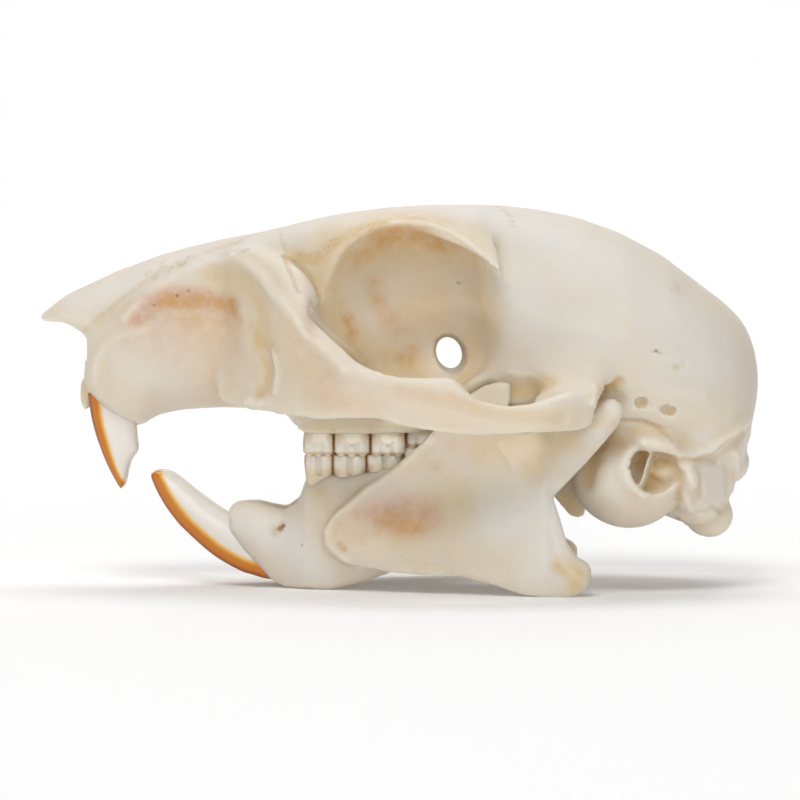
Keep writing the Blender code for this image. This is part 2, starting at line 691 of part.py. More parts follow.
def coronoid_process():
    """The hooked blade that the temporal muscle pulls."""
    return loft([
        strap_section(4.6, -9.9, 16.2, 13.5, 1.0),
        strap_section(6.0, -10.8, 17.9, 14.0, 1.0),
        strap_section(7.4, -11.4, 18.9, 15.0, 0.9),
        strap_section(8.6, -11.8, 19.6, 16.8, 0.9),
        strap_section(9.4, -12.0, 20.1, 18.4, 0.85),
        strap_section(10.3, -12.2, 20.5, 19.6, 0.75),
    ], STRAP_SIDES)


def jaw_condyle():
    """The neck and head of the jaw joint."""
    return tube([
        ((10.8, -12.2, 11.6), 0.65, 2.6),
        ((13.6, -12.5, 12.9), 0.7, 2.0),
        ((15.8, -12.8, 14.1), 0.8, 1.5),
        ((17.5, -13.0, 15.6), 1.0, 1.15),
        ((18.4, -13.1, 16.6), 1.05, 0.95),
        ((18.7, -13.1, 17.2), 0.7, 0.5),
    ])


def angular_process():
    """The lower back corner of the jaw, with its thick rim turned inwards."""
    return loft([
        strap_section(4.5, -9.8, 3.6, 1.8, 1.5),
        strap_section(8.0, -11.1, 3.2, 1.1, 1.8),
        strap_section(11.0, -11.8, 4.6, 0.1, 1.9),
        strap_section(13.2, -12.1, 7.4, -0.25, 1.9),
        strap_section(14.2, -12.1, 5.6, -0.25, 2.2),
        strap_section(15.4, -12.0, 3.6, 0.1, 2.6),
        strap_section(16.5, -12.0, 3.1, 0.8, 2.2),
        strap_section(16.9, -12.0, 2.6, 1.6, 1.2),
    ], STRAP_SIDES)


def shape_cranium(thing):
    """The crests and shallow hollows of the cranium."""
    stroke_both(thing, [(-12.4, -11.0, 25.0), (-10.2, -12.2, 20.4)], 4.4, -0.55, (-0.7, -0.7, 0))
    stroke_both(thing, [(-20.0, -5.8, 25.0), (-16.5, -6.0, 26.0)], 2.6, -0.45, (0, -1, 0.1))
    stroke_both(thing, [(24.3, -12.3, 12.4), (27.0, -11.6, 12.5), (28.4, -10.6, 13.1),
                        (30.1, -8.6, 14.6), (31.6, -5.5, 16.2)], 1.3, 0.5, (0.5, -0.8, -0.1))
    stroke_both(thing, [(26.4, -9.6, 9.6), (26.0, -9.2, 7.0)], 1.0, -0.7, (0, -1, -0.3))


def bone_holes():
    """Small openings on one side: cheek canal, temple openings and the way into the ear."""
    return [
        ellipsoid((-12.6, -9.6, 18.7), (1.7, 0.6, 1.35), turn_z=45, detail=2),
        ellipsoid((21.4, -12.6, 17.1), (0.62, 2.2, 0.62), detail=1),
        ellipsoid((23.9, -12.4, 16.4), (0.75, 2.2, 0.5), turn_y=20, detail=1),
        ellipsoid((22.7, -12.2, 11.2), (1.9, 3.6, 1.9), detail=2),
    ]


def build_cranium():
    """The cranium in three rounds: the body, then arches and ears, then hollows and sockets."""
    thing = as_object("cranium", [
        braincase(), rostrum(), nasals(), tooth_bearing_maxilla(), sphenoid_bar(),
    ] + both_sides([eye_socket_front()]))
    fuse(thing)
    cut(thing, both_sides(eye_socket_cutters()) + [nose_front_hollow()])
    add(thing, both_sides([
        zygomatic_arch(), zygomatic_root(), postorbital_process(), lacrimal_flake(),
        incisor_guard(), ear_bulla(), ear_hood(), mastoid_block(), mastoid_knob(),
        occipital_condyle(), pterygoid(),
    ]))
    fuse(thing)
    cut(thing, [optic_tunnel(), nose_cavity(), brain_cavity(), foramen_magnum(), palate_trough(),
                throat_channel()] + both_sides([jaw_joint_hollow()]))
    fuse(thing, smoothing=3)
    shape_cranium(thing)
    thin_out(thing, CRANIUM_TRIANGLES)
    sockets = [cheek_tooth(UPPER_ROW, k, SOCKET_GAP) for k in range(len(TOOTH_NAMES))]
    cut(thing, both_sides(sockets + [upper_incisor(SOCKET_GAP)] + bone_holes()))
    return thing


def build_jaw():
    """The left lower jaw bone, with its sockets and the two flats that it stands on."""
    thing = as_object("mandible_left", [
        jaw_body(), jaw_ramus(), coronoid_process(), jaw_condyle(), angular_process(),
    ])
    fuse(thing, smoothing=3)
    stroke(thing, [(-1.0, -9.4, 6.2), (6.0, -11.4, 7.0)], 4.6, -0.55, (-0.25, -1, 0))
    stroke(thing, [(-6.8, -7.4, 4.6), (-5.4, -8.2, 6.6), (-3.0, -8.8, 8.9), (-0.2, -9.2, 10.8),
                   (2.4, -9.8, 13.2)], 1.3, 0.5, (-0.2, -1, 0.3))
    thin_out(thing, JAW_TRIANGLES)
    sockets = [cheek_tooth(LOWER_ROW, k, SOCKET_GAP) for k in range(len(TOOTH_NAMES))]
    cut(thing, sockets + [lower_incisor(SOCKET_GAP), mental_foramen()])
    stand_flat(thing)
    return thing


def main():
    """Builds the cranium and the left pieces, and copies those to the right."""
    for thing in list(bpy.data.objects):
        bpy.data.objects.remove(thing)
    finish(build_cranium(), BONE)
    left_pieces = [finish(build_jaw(), BONE)]
    for k, name in enumerate(TOOTH_NAMES):
        for row, level in ((UPPER_ROW, "upper"), (LOWER_ROW, "lower")):
            tooth = as_object(f"{level}_{name}_left", [cheek_tooth(row, k)])
            left_pieces.append(finish(tooth, CHEEK_ENAMEL))
    for shape, name in ((upper_incisor(), "upper_incisor"), (lower_incisor(), "lower_incisor")):
        left_pieces.append(finish(as_object(f"{name}_left", [shape]), INCISOR_ENAMEL))
    for piece in left_pieces:
        right_copy(piece)


main()
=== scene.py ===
"""Looks of the fox squirrel skull: fine bone, worn teeth, a pale floor and soft studio light.

Lengths are millimetres while a piece is shaped, and each finished mesh is scaled to metres. The nose
points to -X and the animal's left side, the one in the photograph, faces -Y. The skull stands on its
lower jaw, on the floor at z = 0.
"""

import json
import logging
import math
from dataclasses import dataclass, field
from enum import Enum
from typing import Any, Iterable, Sequence

import bmesh
import bpy
import numpy as np
from mathutils import Matrix, Vector

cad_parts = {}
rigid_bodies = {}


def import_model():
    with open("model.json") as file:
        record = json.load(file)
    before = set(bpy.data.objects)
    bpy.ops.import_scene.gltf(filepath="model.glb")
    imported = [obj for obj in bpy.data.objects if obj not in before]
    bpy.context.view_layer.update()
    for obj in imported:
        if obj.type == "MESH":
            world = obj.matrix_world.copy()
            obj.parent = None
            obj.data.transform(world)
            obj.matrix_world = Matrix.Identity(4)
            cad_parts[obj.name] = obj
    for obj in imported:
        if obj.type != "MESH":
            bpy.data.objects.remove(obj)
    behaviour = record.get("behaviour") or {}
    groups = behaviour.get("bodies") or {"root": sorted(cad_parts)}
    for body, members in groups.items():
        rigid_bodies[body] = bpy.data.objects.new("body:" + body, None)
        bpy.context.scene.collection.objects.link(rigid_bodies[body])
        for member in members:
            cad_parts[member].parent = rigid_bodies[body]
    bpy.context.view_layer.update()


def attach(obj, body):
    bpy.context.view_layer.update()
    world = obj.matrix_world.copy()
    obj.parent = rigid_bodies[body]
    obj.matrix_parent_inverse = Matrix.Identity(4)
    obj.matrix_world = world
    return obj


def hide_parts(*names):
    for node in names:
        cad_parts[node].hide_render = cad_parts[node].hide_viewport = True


MILLIMETRE = 0.001
BODY = "root"

Point = tuple[float, float, float]
Pixel = tuple[float, float]
Line = tuple[Pixel, ...]
Colour = tuple[float, float, float]

log = logging.getLogger("skull")


class Side(Enum):
    """A side of the animal, with the sign that its pieces have along Y."""

    LEFT = -1
    RIGHT = 1

    @property
    def word(self) -> str:
        """The side's name in the names of the pieces."""
        return self.name.lower()

    @property
    def flip(self) -> np.ndarray:
        """The factors that take a place on the left to this side."""
        return np.array((1, -self.value, 1))


class Push(Enum):
    """Which way a sculpting stroke moves the surface."""

    RAISE = 1
    PRESS = -1


@dataclass(frozen=True)
class PhotoView:
    """The photograph's point of view, which turns its pixels into lines of sight."""

    distance: float = 320.0
    target_height: float = 17.1
    lift: float = math.radians(2.0)
    pixel_size: float = 0.0923
    middle: float = 400.0
    sensor: float = 36.0

    @property
    def forward(self) -> Vector:
        """The direction in which the camera looks."""
        return Vector((0, math.cos(self.lift), -math.sin(self.lift)))

    @property
    def upward(self) -> Vector:
        """The direction that is up in the picture."""
        return Vector((0, math.sin(self.lift), math.cos(self.lift)))

    @property
    def eye(self) -> Vector:
        """The place of the camera."""
        return Vector((0, 0, self.target_height)) - self.forward * self.distance

    @property
    def lens(self) -> float:
        """The focal length that gives the photograph's frame, in millimetres."""
        return self.sensor * self.distance / (2 * self.middle * self.pixel_size)

    def sight(self, pixel: Pixel) -> Vector:
        """Works out the line of sight through a pixel.

        Args:
            pixel: A place in the photograph, in pixels from its top left corner.

        Returns:
            The direction from the camera, of length one.
        """
        across = (pixel[0] - self.middle) * self.pixel_size / self.distance
        rise = (self.middle - pixel[1]) * self.pixel_size / self.distance
        return (self.forward + Vector((1, 0, 0)) * across + self.upward * rise).normalized()

    def on_plane(self, pixel: Pixel, y: float) -> Vector:
        """Finds the point of a line of sight that lies at a place across the skull.

        Args:
            pixel: A place in the photograph.
            y: The place across the skull.

        Returns:
            The point.
        """
        sight = self.sight(pixel)
        return self.eye + sight * ((y - self.eye.y) / sight.y)


VIEW = PhotoView()


class Seen:
    """Lines and dots on the skull's left side, as pixels of the photograph."""

    # The nose and the muzzle
    NOSE_TIP_SEAM = ((60, 322), (70, 328), (80, 336))
    NOSE_SEAM = ((85, 330), (98, 318), (115, 305), (130, 292), (160, 270))
    NOSE_TOP = ((80, 300), (180, 262), (300, 230))
    NOSE_SPOT = ((163, 262),)
    SNOUT_EDGE = ((83, 350), (86, 378), (82, 395), (84, 408))
    SNOUT_FOOT = ((84, 385), (83, 400), (88, 410))
    SNOUT_SWELL = ((143, 331), (122, 335), (106, 344), (97, 360), (93, 383))
    LIP_HOLLOW = ((106, 365), (110, 392))
    LIP_SEAM = ((93, 397), (100, 411), (116, 420), (134, 427))
    MUZZLE_CREST = ((125, 319), (146, 292), (177, 274), (211, 262), (232, 259))
    MUZZLE_GROOVE = ((100, 318), (125, 302), (150, 284), (180, 266))
    MUZZLE_HOLLOW = ((150, 310), (185, 301), (225, 308))
    MUZZLE_BAND = ((138, 318), (152, 305), (172, 299), (200, 300), (234, 307))
    MUZZLE_BAND_CORE = ((165, 302), (185, 300), (208, 301), (234, 308))
    MUZZLE_BAND_FOOT = ((185, 318), (215, 321), (240, 318))
    MUZZLE_BLUSH = ((150, 318), (185, 324))
    MUZZLE_WARMTH = ((180, 320), (210, 335), (235, 330))
    MUZZLE_FLANK = ((140, 335), (185, 345), (235, 345))
    MUZZLE_FOOT = ((225, 360), (232, 385), (215, 400))
    MUZZLE_PALE = ((120, 350), (170, 385))
    MUZZLE_PORE_FRONT = (154, 305)
    MUZZLE_PORE_MIDDLE = (177, 296)
    MUZZLE_PORE_BACK = (188, 291)

    # The cheek and the flake of the tear bone
    CHEEK_RIDGE = ((232, 258), (245, 264), (262, 278), (275, 297), (294, 316), (311, 338),
                   (328, 353), (345, 370))
    CHEEK_HOLLOW = ((246, 285), (258, 310), (262, 340))
    CHEEK_SEAM = ((232, 258), (240, 254), (248, 249))
    CHEEK_SEAM_STAIN = ((232, 258), (248, 249))
    CHEEK_WARMTH = ((215, 275), (246, 285), (262, 310), (264, 345))
    CHEEK_STREAK = ((247, 318), (262, 345), (275, 350))
    CHEEK_FOOT = ((285, 330), (300, 365), (330, 400), (360, 405))
    CHEEK_BLUSH = ((300, 345), (330, 390))
    CHEEK_SPOT = ((330, 372),)
    CANAL_SLIT = ((266, 358), (269, 374), (266, 388), (258, 396))
    CANAL_STAIN = ((267, 360), (270, 374), (267, 388), (260, 396))
    CANAL_WARMTH = ((262, 365), (264, 378), (260, 390))
    CANAL_LIP = ((273, 350), (278, 372), (275, 392))
    CANAL_KNOB = ((247, 401), (260, 402))
    CANAL_SPOT = ((280, 350),)
    TEAR_SEAM_BACK = ((284, 256), (298, 263), (311, 276), (320, 297), (318, 305))
    TEAR_SEAM_FRONT = ((284, 256), (289, 270), (298, 291), (311, 303))
    TEAR_FLAKE = ((294, 268), (304, 282), (313, 297))
    GUM_HOLLOW = ((310, 400), (345, 408), (380, 415))
    GUM_LINE = ((306, 428), (350, 428), (400, 428))
    TOOTH_GAPS = ((333, 430), (371, 430), (404, 429))

    # The brow and the eye socket
    BROW_SEAM = ((280, 235), (284, 247), (287, 258))
    BROW_EDGE = ((388, 224.5), (409, 222.5), (432, 224.5), (451, 231), (466, 241), (480, 254),
                 (490, 266), (498, 273))
    BROW_FRINGE = ((290, 258), (318, 258), (332, 245), (352, 233), (385, 223))
    BROW_PORES = ((296, 258), (318, 256), (332, 244), (352, 233), (385, 223))
    BROW_HOOK_BACK = ((500, 240), (503, 254), (506, 268))
    SOCKET_EDGE = ((311, 311), (323, 327), (344, 345), (360, 363), (378, 373))
    SOCKET_STEP = ((362, 350), (380, 338), (420, 328), (460, 325), (490, 333), (499, 350))
    SOCKET_BACK = ((498, 290), (500, 320), (502, 350), (498, 375))
    SOCKET_FRONT = ((345, 300), (350, 340), (370, 365))
    SOCKET_ROOF = ((385, 238), (415, 232), (440, 241))
    SOCKET_ROOF_FRONT = ((360, 258), (385, 240))
    SOCKET_TOP = ((340, 260), (400, 250), (470, 255))
    SOCKET_FOOT = ((325, 290), (340, 325), (370, 360), (410, 368))
    SOCKET_MIDDLE = ((400, 330), (430, 300), (450, 340))
    SOCKET_BACK_FOOT = ((470, 350), (466, 375), (472, 392))
    SOCKET_BACK_TOP = ((470, 270), (485, 310), (480, 345))
    SOCKET_SPOT_FRONT = ((348, 320), (352, 336))
    SOCKET_SPOT_FOOT = ((412, 352), (404, 360))
    SOCKET_SPOT_TOP = ((372, 285), (384, 314))
    SOCKET_BLUSH = ((395, 322),)
    SOCKET_PORE = (458, 283)
    OPTIC_HOLE = ((449, 354),)
    OPTIC_EDGE = ((449, 342), (438, 350))
    OPTIC_MARK = ((442, 336), (436, 342))

    # The cheek arch and the temple
    ARCH_HOLLOW = ((400, 392), (450, 400), (500, 414), (560, 418))
    ARCH_EDGE = ((381, 410), (399, 423), (451, 431), (525, 431), (585, 426))
    ARCH_WARMTH = ((390, 392), (440, 398), (500, 412), (570, 416))
    ARCH_PALE = ((440, 386), (480, 400), (540, 402), (580, 398))
    ARCH_END = ((595, 388), (594, 402), (596, 414))
    TEMPLE_PIT = ((505, 392), (522, 390), (542, 387))
    TEMPLE_PIT_STAIN = ((505, 392), (530, 390), (546, 386))
    TEMPLE_RIM = ((508, 372), (530, 376), (548, 384))
    ROOT_TOP = ((534, 356), (545, 347), (570, 344), (592, 350), (606, 364))
    ROOT_FRONT = ((532, 362), (530, 384))
    ROOT_MIDDLE = ((552, 366), (580, 366))
    JOINT_HOLLOW = ((600, 398), (605, 388), (618, 383))
    JOINT_EDGE = ((596, 398), (598, 390), (606, 384))
    JOINT_SPOT = ((600, 394), (605, 387))

    # The braincase and the back of the head
    CASE_TOP = ((470, 215), (560, 240), (640, 290), (700, 350))
    CASE_FRONT = ((520, 280), (540, 330), (600, 330))
    CASE_SWELL = ((600, 345), (640, 330), (690, 330))
    CASE_CREST = ((590, 372), (620, 381), (660, 393), (700, 392))
    CASE_LINE = ((505, 302), (560, 324), (620, 336))
    CASE_SCRATCH = ((668, 365), (676, 367), (684, 364))
    CASE_SPOT = ((676, 366),)
    CASE_PORE = (656, 351)
    CASE_PORE_STAIN = ((656, 351), (660, 354))
    NAPE_CREST = ((673, 453), (689, 455), (708, 450), (721, 439), (738, 428), (750, 417))
    NAPE_GROOVE = ((676, 460), (695, 464), (715, 459), (732, 446), (744, 434))
    NAPE_SEAM = ((676, 457), (695, 459), (712, 454), (727, 441), (742, 430))
    NECK_GROOVE = ((698, 470), (700, 495))
    NECK_FOLD = ((726, 458), (728, 490))
    NECK_RIDGE = ((735, 452), (737, 474))
    NECK_PALE = ((700, 440), (720, 470), (715, 500))
    KNOB_GROOVE = ((700, 512), (712, 506), (722, 512))
    KNOB_WARMTH = ((720, 510), (705, 525))

    # The ear and its bulla
    EAR_SEAM = ((623, 420), (643, 421), (659, 428), (672, 441))
    EAR_ROOF = ((620, 432), (640, 432))
    EAR_LIP = ((640, 442), (630, 452), (624, 467), (630, 484), (643, 495))
    EAR_INSIDE = ((642, 460), (655, 466), (668, 468), (650, 482))
    EAR_FRONT = ((640, 454), (638, 466))
    EAR_BACK = ((668, 462),)
    EAR_FLOOR = ((645, 486), (656, 488))
    EAR_CORE = ((655, 468), (650, 480))
    EAR_PILLAR = ((688, 468), (691, 484))
    EAR_PILLAR_FOOT = ((688, 500), (690, 510))
    EAR_PILLAR_GROOVE = ((679, 475), (677, 498), (680, 520))
    EAR_PILLAR_STAIN = ((679, 478), (677, 498), (680, 520))
    EAR_PILLAR_HOLE = (679, 518)
    VESSEL_FRONT = (641, 403)
    VESSEL_MIDDLE = (666, 410)
    VESSEL_STAIN = (668, 411)
    VESSEL_BACK = (671, 411.5)
    BULLA_FRONT = ((597, 448), (590, 462), (586, 480))
    BULLA_WARMTH = ((612, 440), (598, 455), (590, 475))
    BULLA_SPOT = ((610, 440), (597, 456))
    BULLA_PALE = ((615, 470), (610, 500))
    BULLA_FOOT = ((660, 515), (600, 505))
    WING_SPOT = ((566, 505), (578, 514))
    WING_WARMTH = ((566, 495), (576, 510))

    # The lower jaw
    JAW_HOLLOW = ((390, 512), (440, 505), (490, 490))
    JAW_CREST = ((430, 442), (415, 455), (400, 470), (380, 483), (365, 493), (350, 507), (335, 517),
                 (328, 530), (330, 545), (345, 560))
    JAW_CREST_FOOT = ((345, 560), (362, 567), (400, 570), (440, 574))
    JAW_CREST_HOLLOW = ((355, 535), (375, 520), (400, 500))
    JAW_CREST_BLUSH = ((330, 500), (345, 520))
    JAW_CREST_MARK = ((340, 545), (344, 549))
    JAW_CREST_PORES = ((342, 547),)
    JAW_STAIN = ((380, 514), (425, 514))
    JAW_STAIN_FRONT = ((358, 515), (375, 513))
    JAW_STAIN_FOOT = ((395, 528), (420, 524))
    JAW_STAIN_CORE = ((388, 522), (415, 527))
    JAW_WARMTH = ((350, 530), (400, 530), (460, 500))
    JAW_PALE = ((500, 520), (545, 505), (545, 560))
    JAW_FOOT = ((420, 573), (500, 588))
    JAW_GUM = ((310, 480), (345, 482), (385, 470))
    JAW_GUM_LINE = ((305, 474), (350, 474), (400, 462))
    JAW_GUM_FRONT = ((300, 485), (320, 490))
    RAMUS_EDGE = ((470, 400), (520, 430), (560, 430), (598, 412))
    RAMUS_BACK = ((555, 500), (553, 530), (558, 552))
    RAMUS_WARMTH = ((480, 450), (520, 440), (570, 440))
    RAMUS_SPOT_LOW = ((437, 466),)
    RAMUS_SPOT_HIGH = ((452, 446),)
    JAW_NECK_HOLLOW = ((540, 440), (530, 468))
    JAW_NECK_STAIN = ((543, 440), (532, 468))
    JAW_NECK_CREST = ((596, 424), (576, 452), (560, 480))
    JAW_NECK_PALE = ((612, 410), (602, 428), (570, 462))
    JAW_HEAD = ((605, 416), (596, 424), (612, 424))
    ANGLE_CREST = ((560, 560), (575, 575), (585, 582))
    ANGLE_STAIN = ((560, 565), (578, 575), (575, 588))
    CHIN_SWELL = ((255, 520), (262, 545))
    CHIN_SEAM = ((231, 520), (232, 537), (242, 553), (256, 567), (270, 578))
    CHIN_FOOT = ((275, 583), (310, 589), (340, 588))
    CHIN_PALE = ((245, 520), (290, 540), (310, 570))
    CHIN_HOLE_FRONT = (280, 529)
    CHIN_HOLE_BACK = (283, 526)
    CHIN_HOLE_STAIN = ((279, 529), (283, 526))
    CHIN_HOLE_EDGE = ((275, 531), (282, 527))
    CHIN_PORE = (302, 545)


@dataclass(frozen=True)
class Section:
    """A closed, rounded cross-section about a centre, from three half-axis vectors."""

    centre: Vector
    across: Vector
    up: Vector
    down: Vector
    square_up: float = 2.0
    square_down: float = 2.0

    @classmethod
    def upright(cls, x: float, half_width: float, top: float, bottom: float, widest: float,
                square_up: float = 2.0, square_down: float = 2.0, y: float = 0.0) -> "Section":
        """Makes a section that stands in the plane of x.

        Args:
            x: Place along the skull.
            half_width: Half the width at the widest level.
            top: Highest level.
            bottom: Lowest level.
            widest: Level of the greatest width.
            square_up: How square the upper half is; 2 is round.
            square_down: How square the lower half is.
            y: Place across the skull.

        Returns:
            The section.
        """
        return cls(Vector((x, y, widest)), Vector((0, half_width, 0)), Vector((0, 0, top - widest)),
                   Vector((0, 0, bottom - widest)), square_up, square_down)

    @classmethod
    def strap(cls, x: float, y: float, top: float, bottom: float, thickness: float,
              lean: float = 0.0) -> "Section":
        """Makes a flat section of a bony strap, with corners a little rounded.

        Args:
            x: Place along the skull.
            y: Place of the lower edge across the skull.
            top: Highest level.
            bottom: Lowest level.
            thickness: Thickness of the strap.
            lean: How far the top is nearer to the middle plane than the bottom.

        Returns:
            The section.
        """
        half = Vector((0, lean / 2, (top - bottom) / 2))
        return cls(Vector((x, y + lean / 2, (top + bottom) / 2)), Vector((0, thickness / 2, 0)),
                   half, -half, 3.0, 3.0)

    def point(self, turn: float) -> Vector:
        """The place on the outline at an angle from the across direction, in radians."""
        square = self.square_up if math.sin(turn) >= 0 else self.square_down
        vertical = self.up if math.sin(turn) >= 0 else self.down
        sideways = math.copysign(abs(math.cos(turn)) ** (2 / square), math.cos(turn))
        return self.centre + self.across * sideways + vertical * abs(math.sin(turn)) ** (2 / square)


class Shape:
    """Closed shapes made with mesh operators, in millimetres."""

    @staticmethod
    def loft(sections: Sequence[Section], sides: int = 24) -> bmesh.types.BMesh:
        """Bridges rings that follow the sections, and fills the two ends.

        Args:
            sections: The cross-sections in order.
            sides: Number of points on each ring.

        Returns:
            The closed shape.
        """
        bm = bmesh.new()
        rings = []
        for outline in sections:
            ring = bmesh.ops.create_circle(bm, segments=sides, radius=1.0)["verts"]
            for vert in ring:
                vert.co = outline.point(math.atan2(vert.co.y, vert.co.x))
            rings.append({edge for vert in ring for edge in vert.link_edges})
        for near, far in zip(rings, rings[1:]):
            bmesh.ops.bridge_loops(bm, edges=list(near | far))
        for ring in (rings[0], rings[-1]):
            bmesh.ops.contextual_create(bm, geom=list(ring))
        bmesh.ops.recalc_face_normals(bm, faces=bm.faces)
        return bm

    @staticmethod
    def uprights(rows: Sequence[Sequence[float]], sides: int = 24) -> bmesh.types.BMesh:
        """A loft through upright sections, whose rows are the arguments of Section.upright."""
        return Shape.loft([Section.upright(*row) for row in rows], sides)

    @staticmethod
    def straps(rows: Sequence[Sequence[float]]) -> bmesh.types.BMesh:
        """A loft through flat sections, whose rows are the arguments of Section.strap."""
        return Shape.loft([Section.strap(*row) for row in rows])

    @staticmethod
    def egg(centre: Point, radii: Point, turn_y: float = 0.0, turn_z: float = 0.0,
            detail: int = 4) -> bmesh.types.BMesh:
        """Makes an ellipsoid, turned about Y and then about Z.

        Args:
            centre: Its middle.
            radii: Its three half-axes.
            turn_y: Turn about Y in degrees.
            turn_z: Turn about Z in degrees.
            detail: Subdivisions of its surface.

        Returns:
            The closed shape.
        """
        bm = bmesh.new()
        place = (Matrix.Translation(centre) @ Matrix.Rotation(math.radians(turn_z), 4, "Z")
                 @ Matrix.Rotation(math.radians(turn_y), 4, "Y") @ Matrix.Diagonal((*radii, 1.0)))
        bmesh.ops.create_icosphere(bm, subdivisions=detail, radius=1.0, matrix=place)
        return bm

    @staticmethod
    def tube(path: Sequence[tuple[Point, float, float]], normal: Point = (0, 1, 0)) -> bmesh.types.BMesh:
        """Makes a tapering rod.

        Args:
            path: Points with the half-width along normal and the other half-width.
            normal: A direction across the rod.

        Returns:
            The closed shape.
        """
        points = [Vector(entry[0]) for entry in path]
        side = Vector(normal).normalized()
        sections = []
        for k, (_, along_normal, along_other) in enumerate(path):
            ahead = points[min(k + 1, len(points) - 1)] - points[max(k - 1, 0)]
            other = ahead.cross(side).normalized() * along_other
            sections.append(Section(points[k], side * along_normal, other, -other))
        return Shape.loft(sections)

    @staticmethod
    def twin(bm: bmesh.types.BMesh) -> bmesh.types.BMesh:
        """The same shape on the other side of the skull."""
        made = bm.copy()
        bmesh.ops.scale(made, vec=(1, -1, 1), verts=made.verts)
        bmesh.ops.reverse_faces(made, faces=made.faces)
        return made

    @staticmethod
    def pair(shapes: Sequence[bmesh.types.BMesh]) -> list[bmesh.types.BMesh]:
        """The shapes together with their twins."""
        return list(shapes) + [Shape.twin(shape) for shape in shapes]


def distance_to_path(places: np.ndarray, path: Sequence[Sequence[float]]) -> np.ndarray:
    """Measures how far points lie from a broken line.

    Args:
        places: The points, one a row.
        path: The corners of the line; a single corner is a dot.

    Returns:
        The distance of each point.
    """
    corners = [np.array(corner, float) for corner in path]
    if len(corners) == 1:
        return np.linalg.norm(places - corners[0], axis=1)
    nearest = np.full(len(places), np.inf)
    for start, end in zip(corners, corners[1:]):
        run = end - start
        along = np.clip((places - start) @ run / max(run @ run, 1e-12), 0.0, 1.0)
        gap = np.linalg.norm(places - start - along[:, None] * run, axis=1)
        nearest = np.minimum(nearest, gap)
    return nearest


def fade_out(distance: np.ndarray, radius: float) -> np.ndarray:
    """One at no distance, falling softly to nothing at radius."""
    return 0.5 + 0.5 * np.cos(np.pi * np.minimum(distance / radius, 1.0))


@dataclass(frozen=True)
class Stroke:
    """A crest, groove or pit, along a line that is seen in the photograph."""

    line: Line
    radius: float
    depth: float
    push: Push


@dataclass(frozen=True)
class Blot:
    """A stain along a line, or round a dot, that is seen in the photograph; some blots are painted shade."""

    line: Line
    radius: float
    strength: float = 1.0


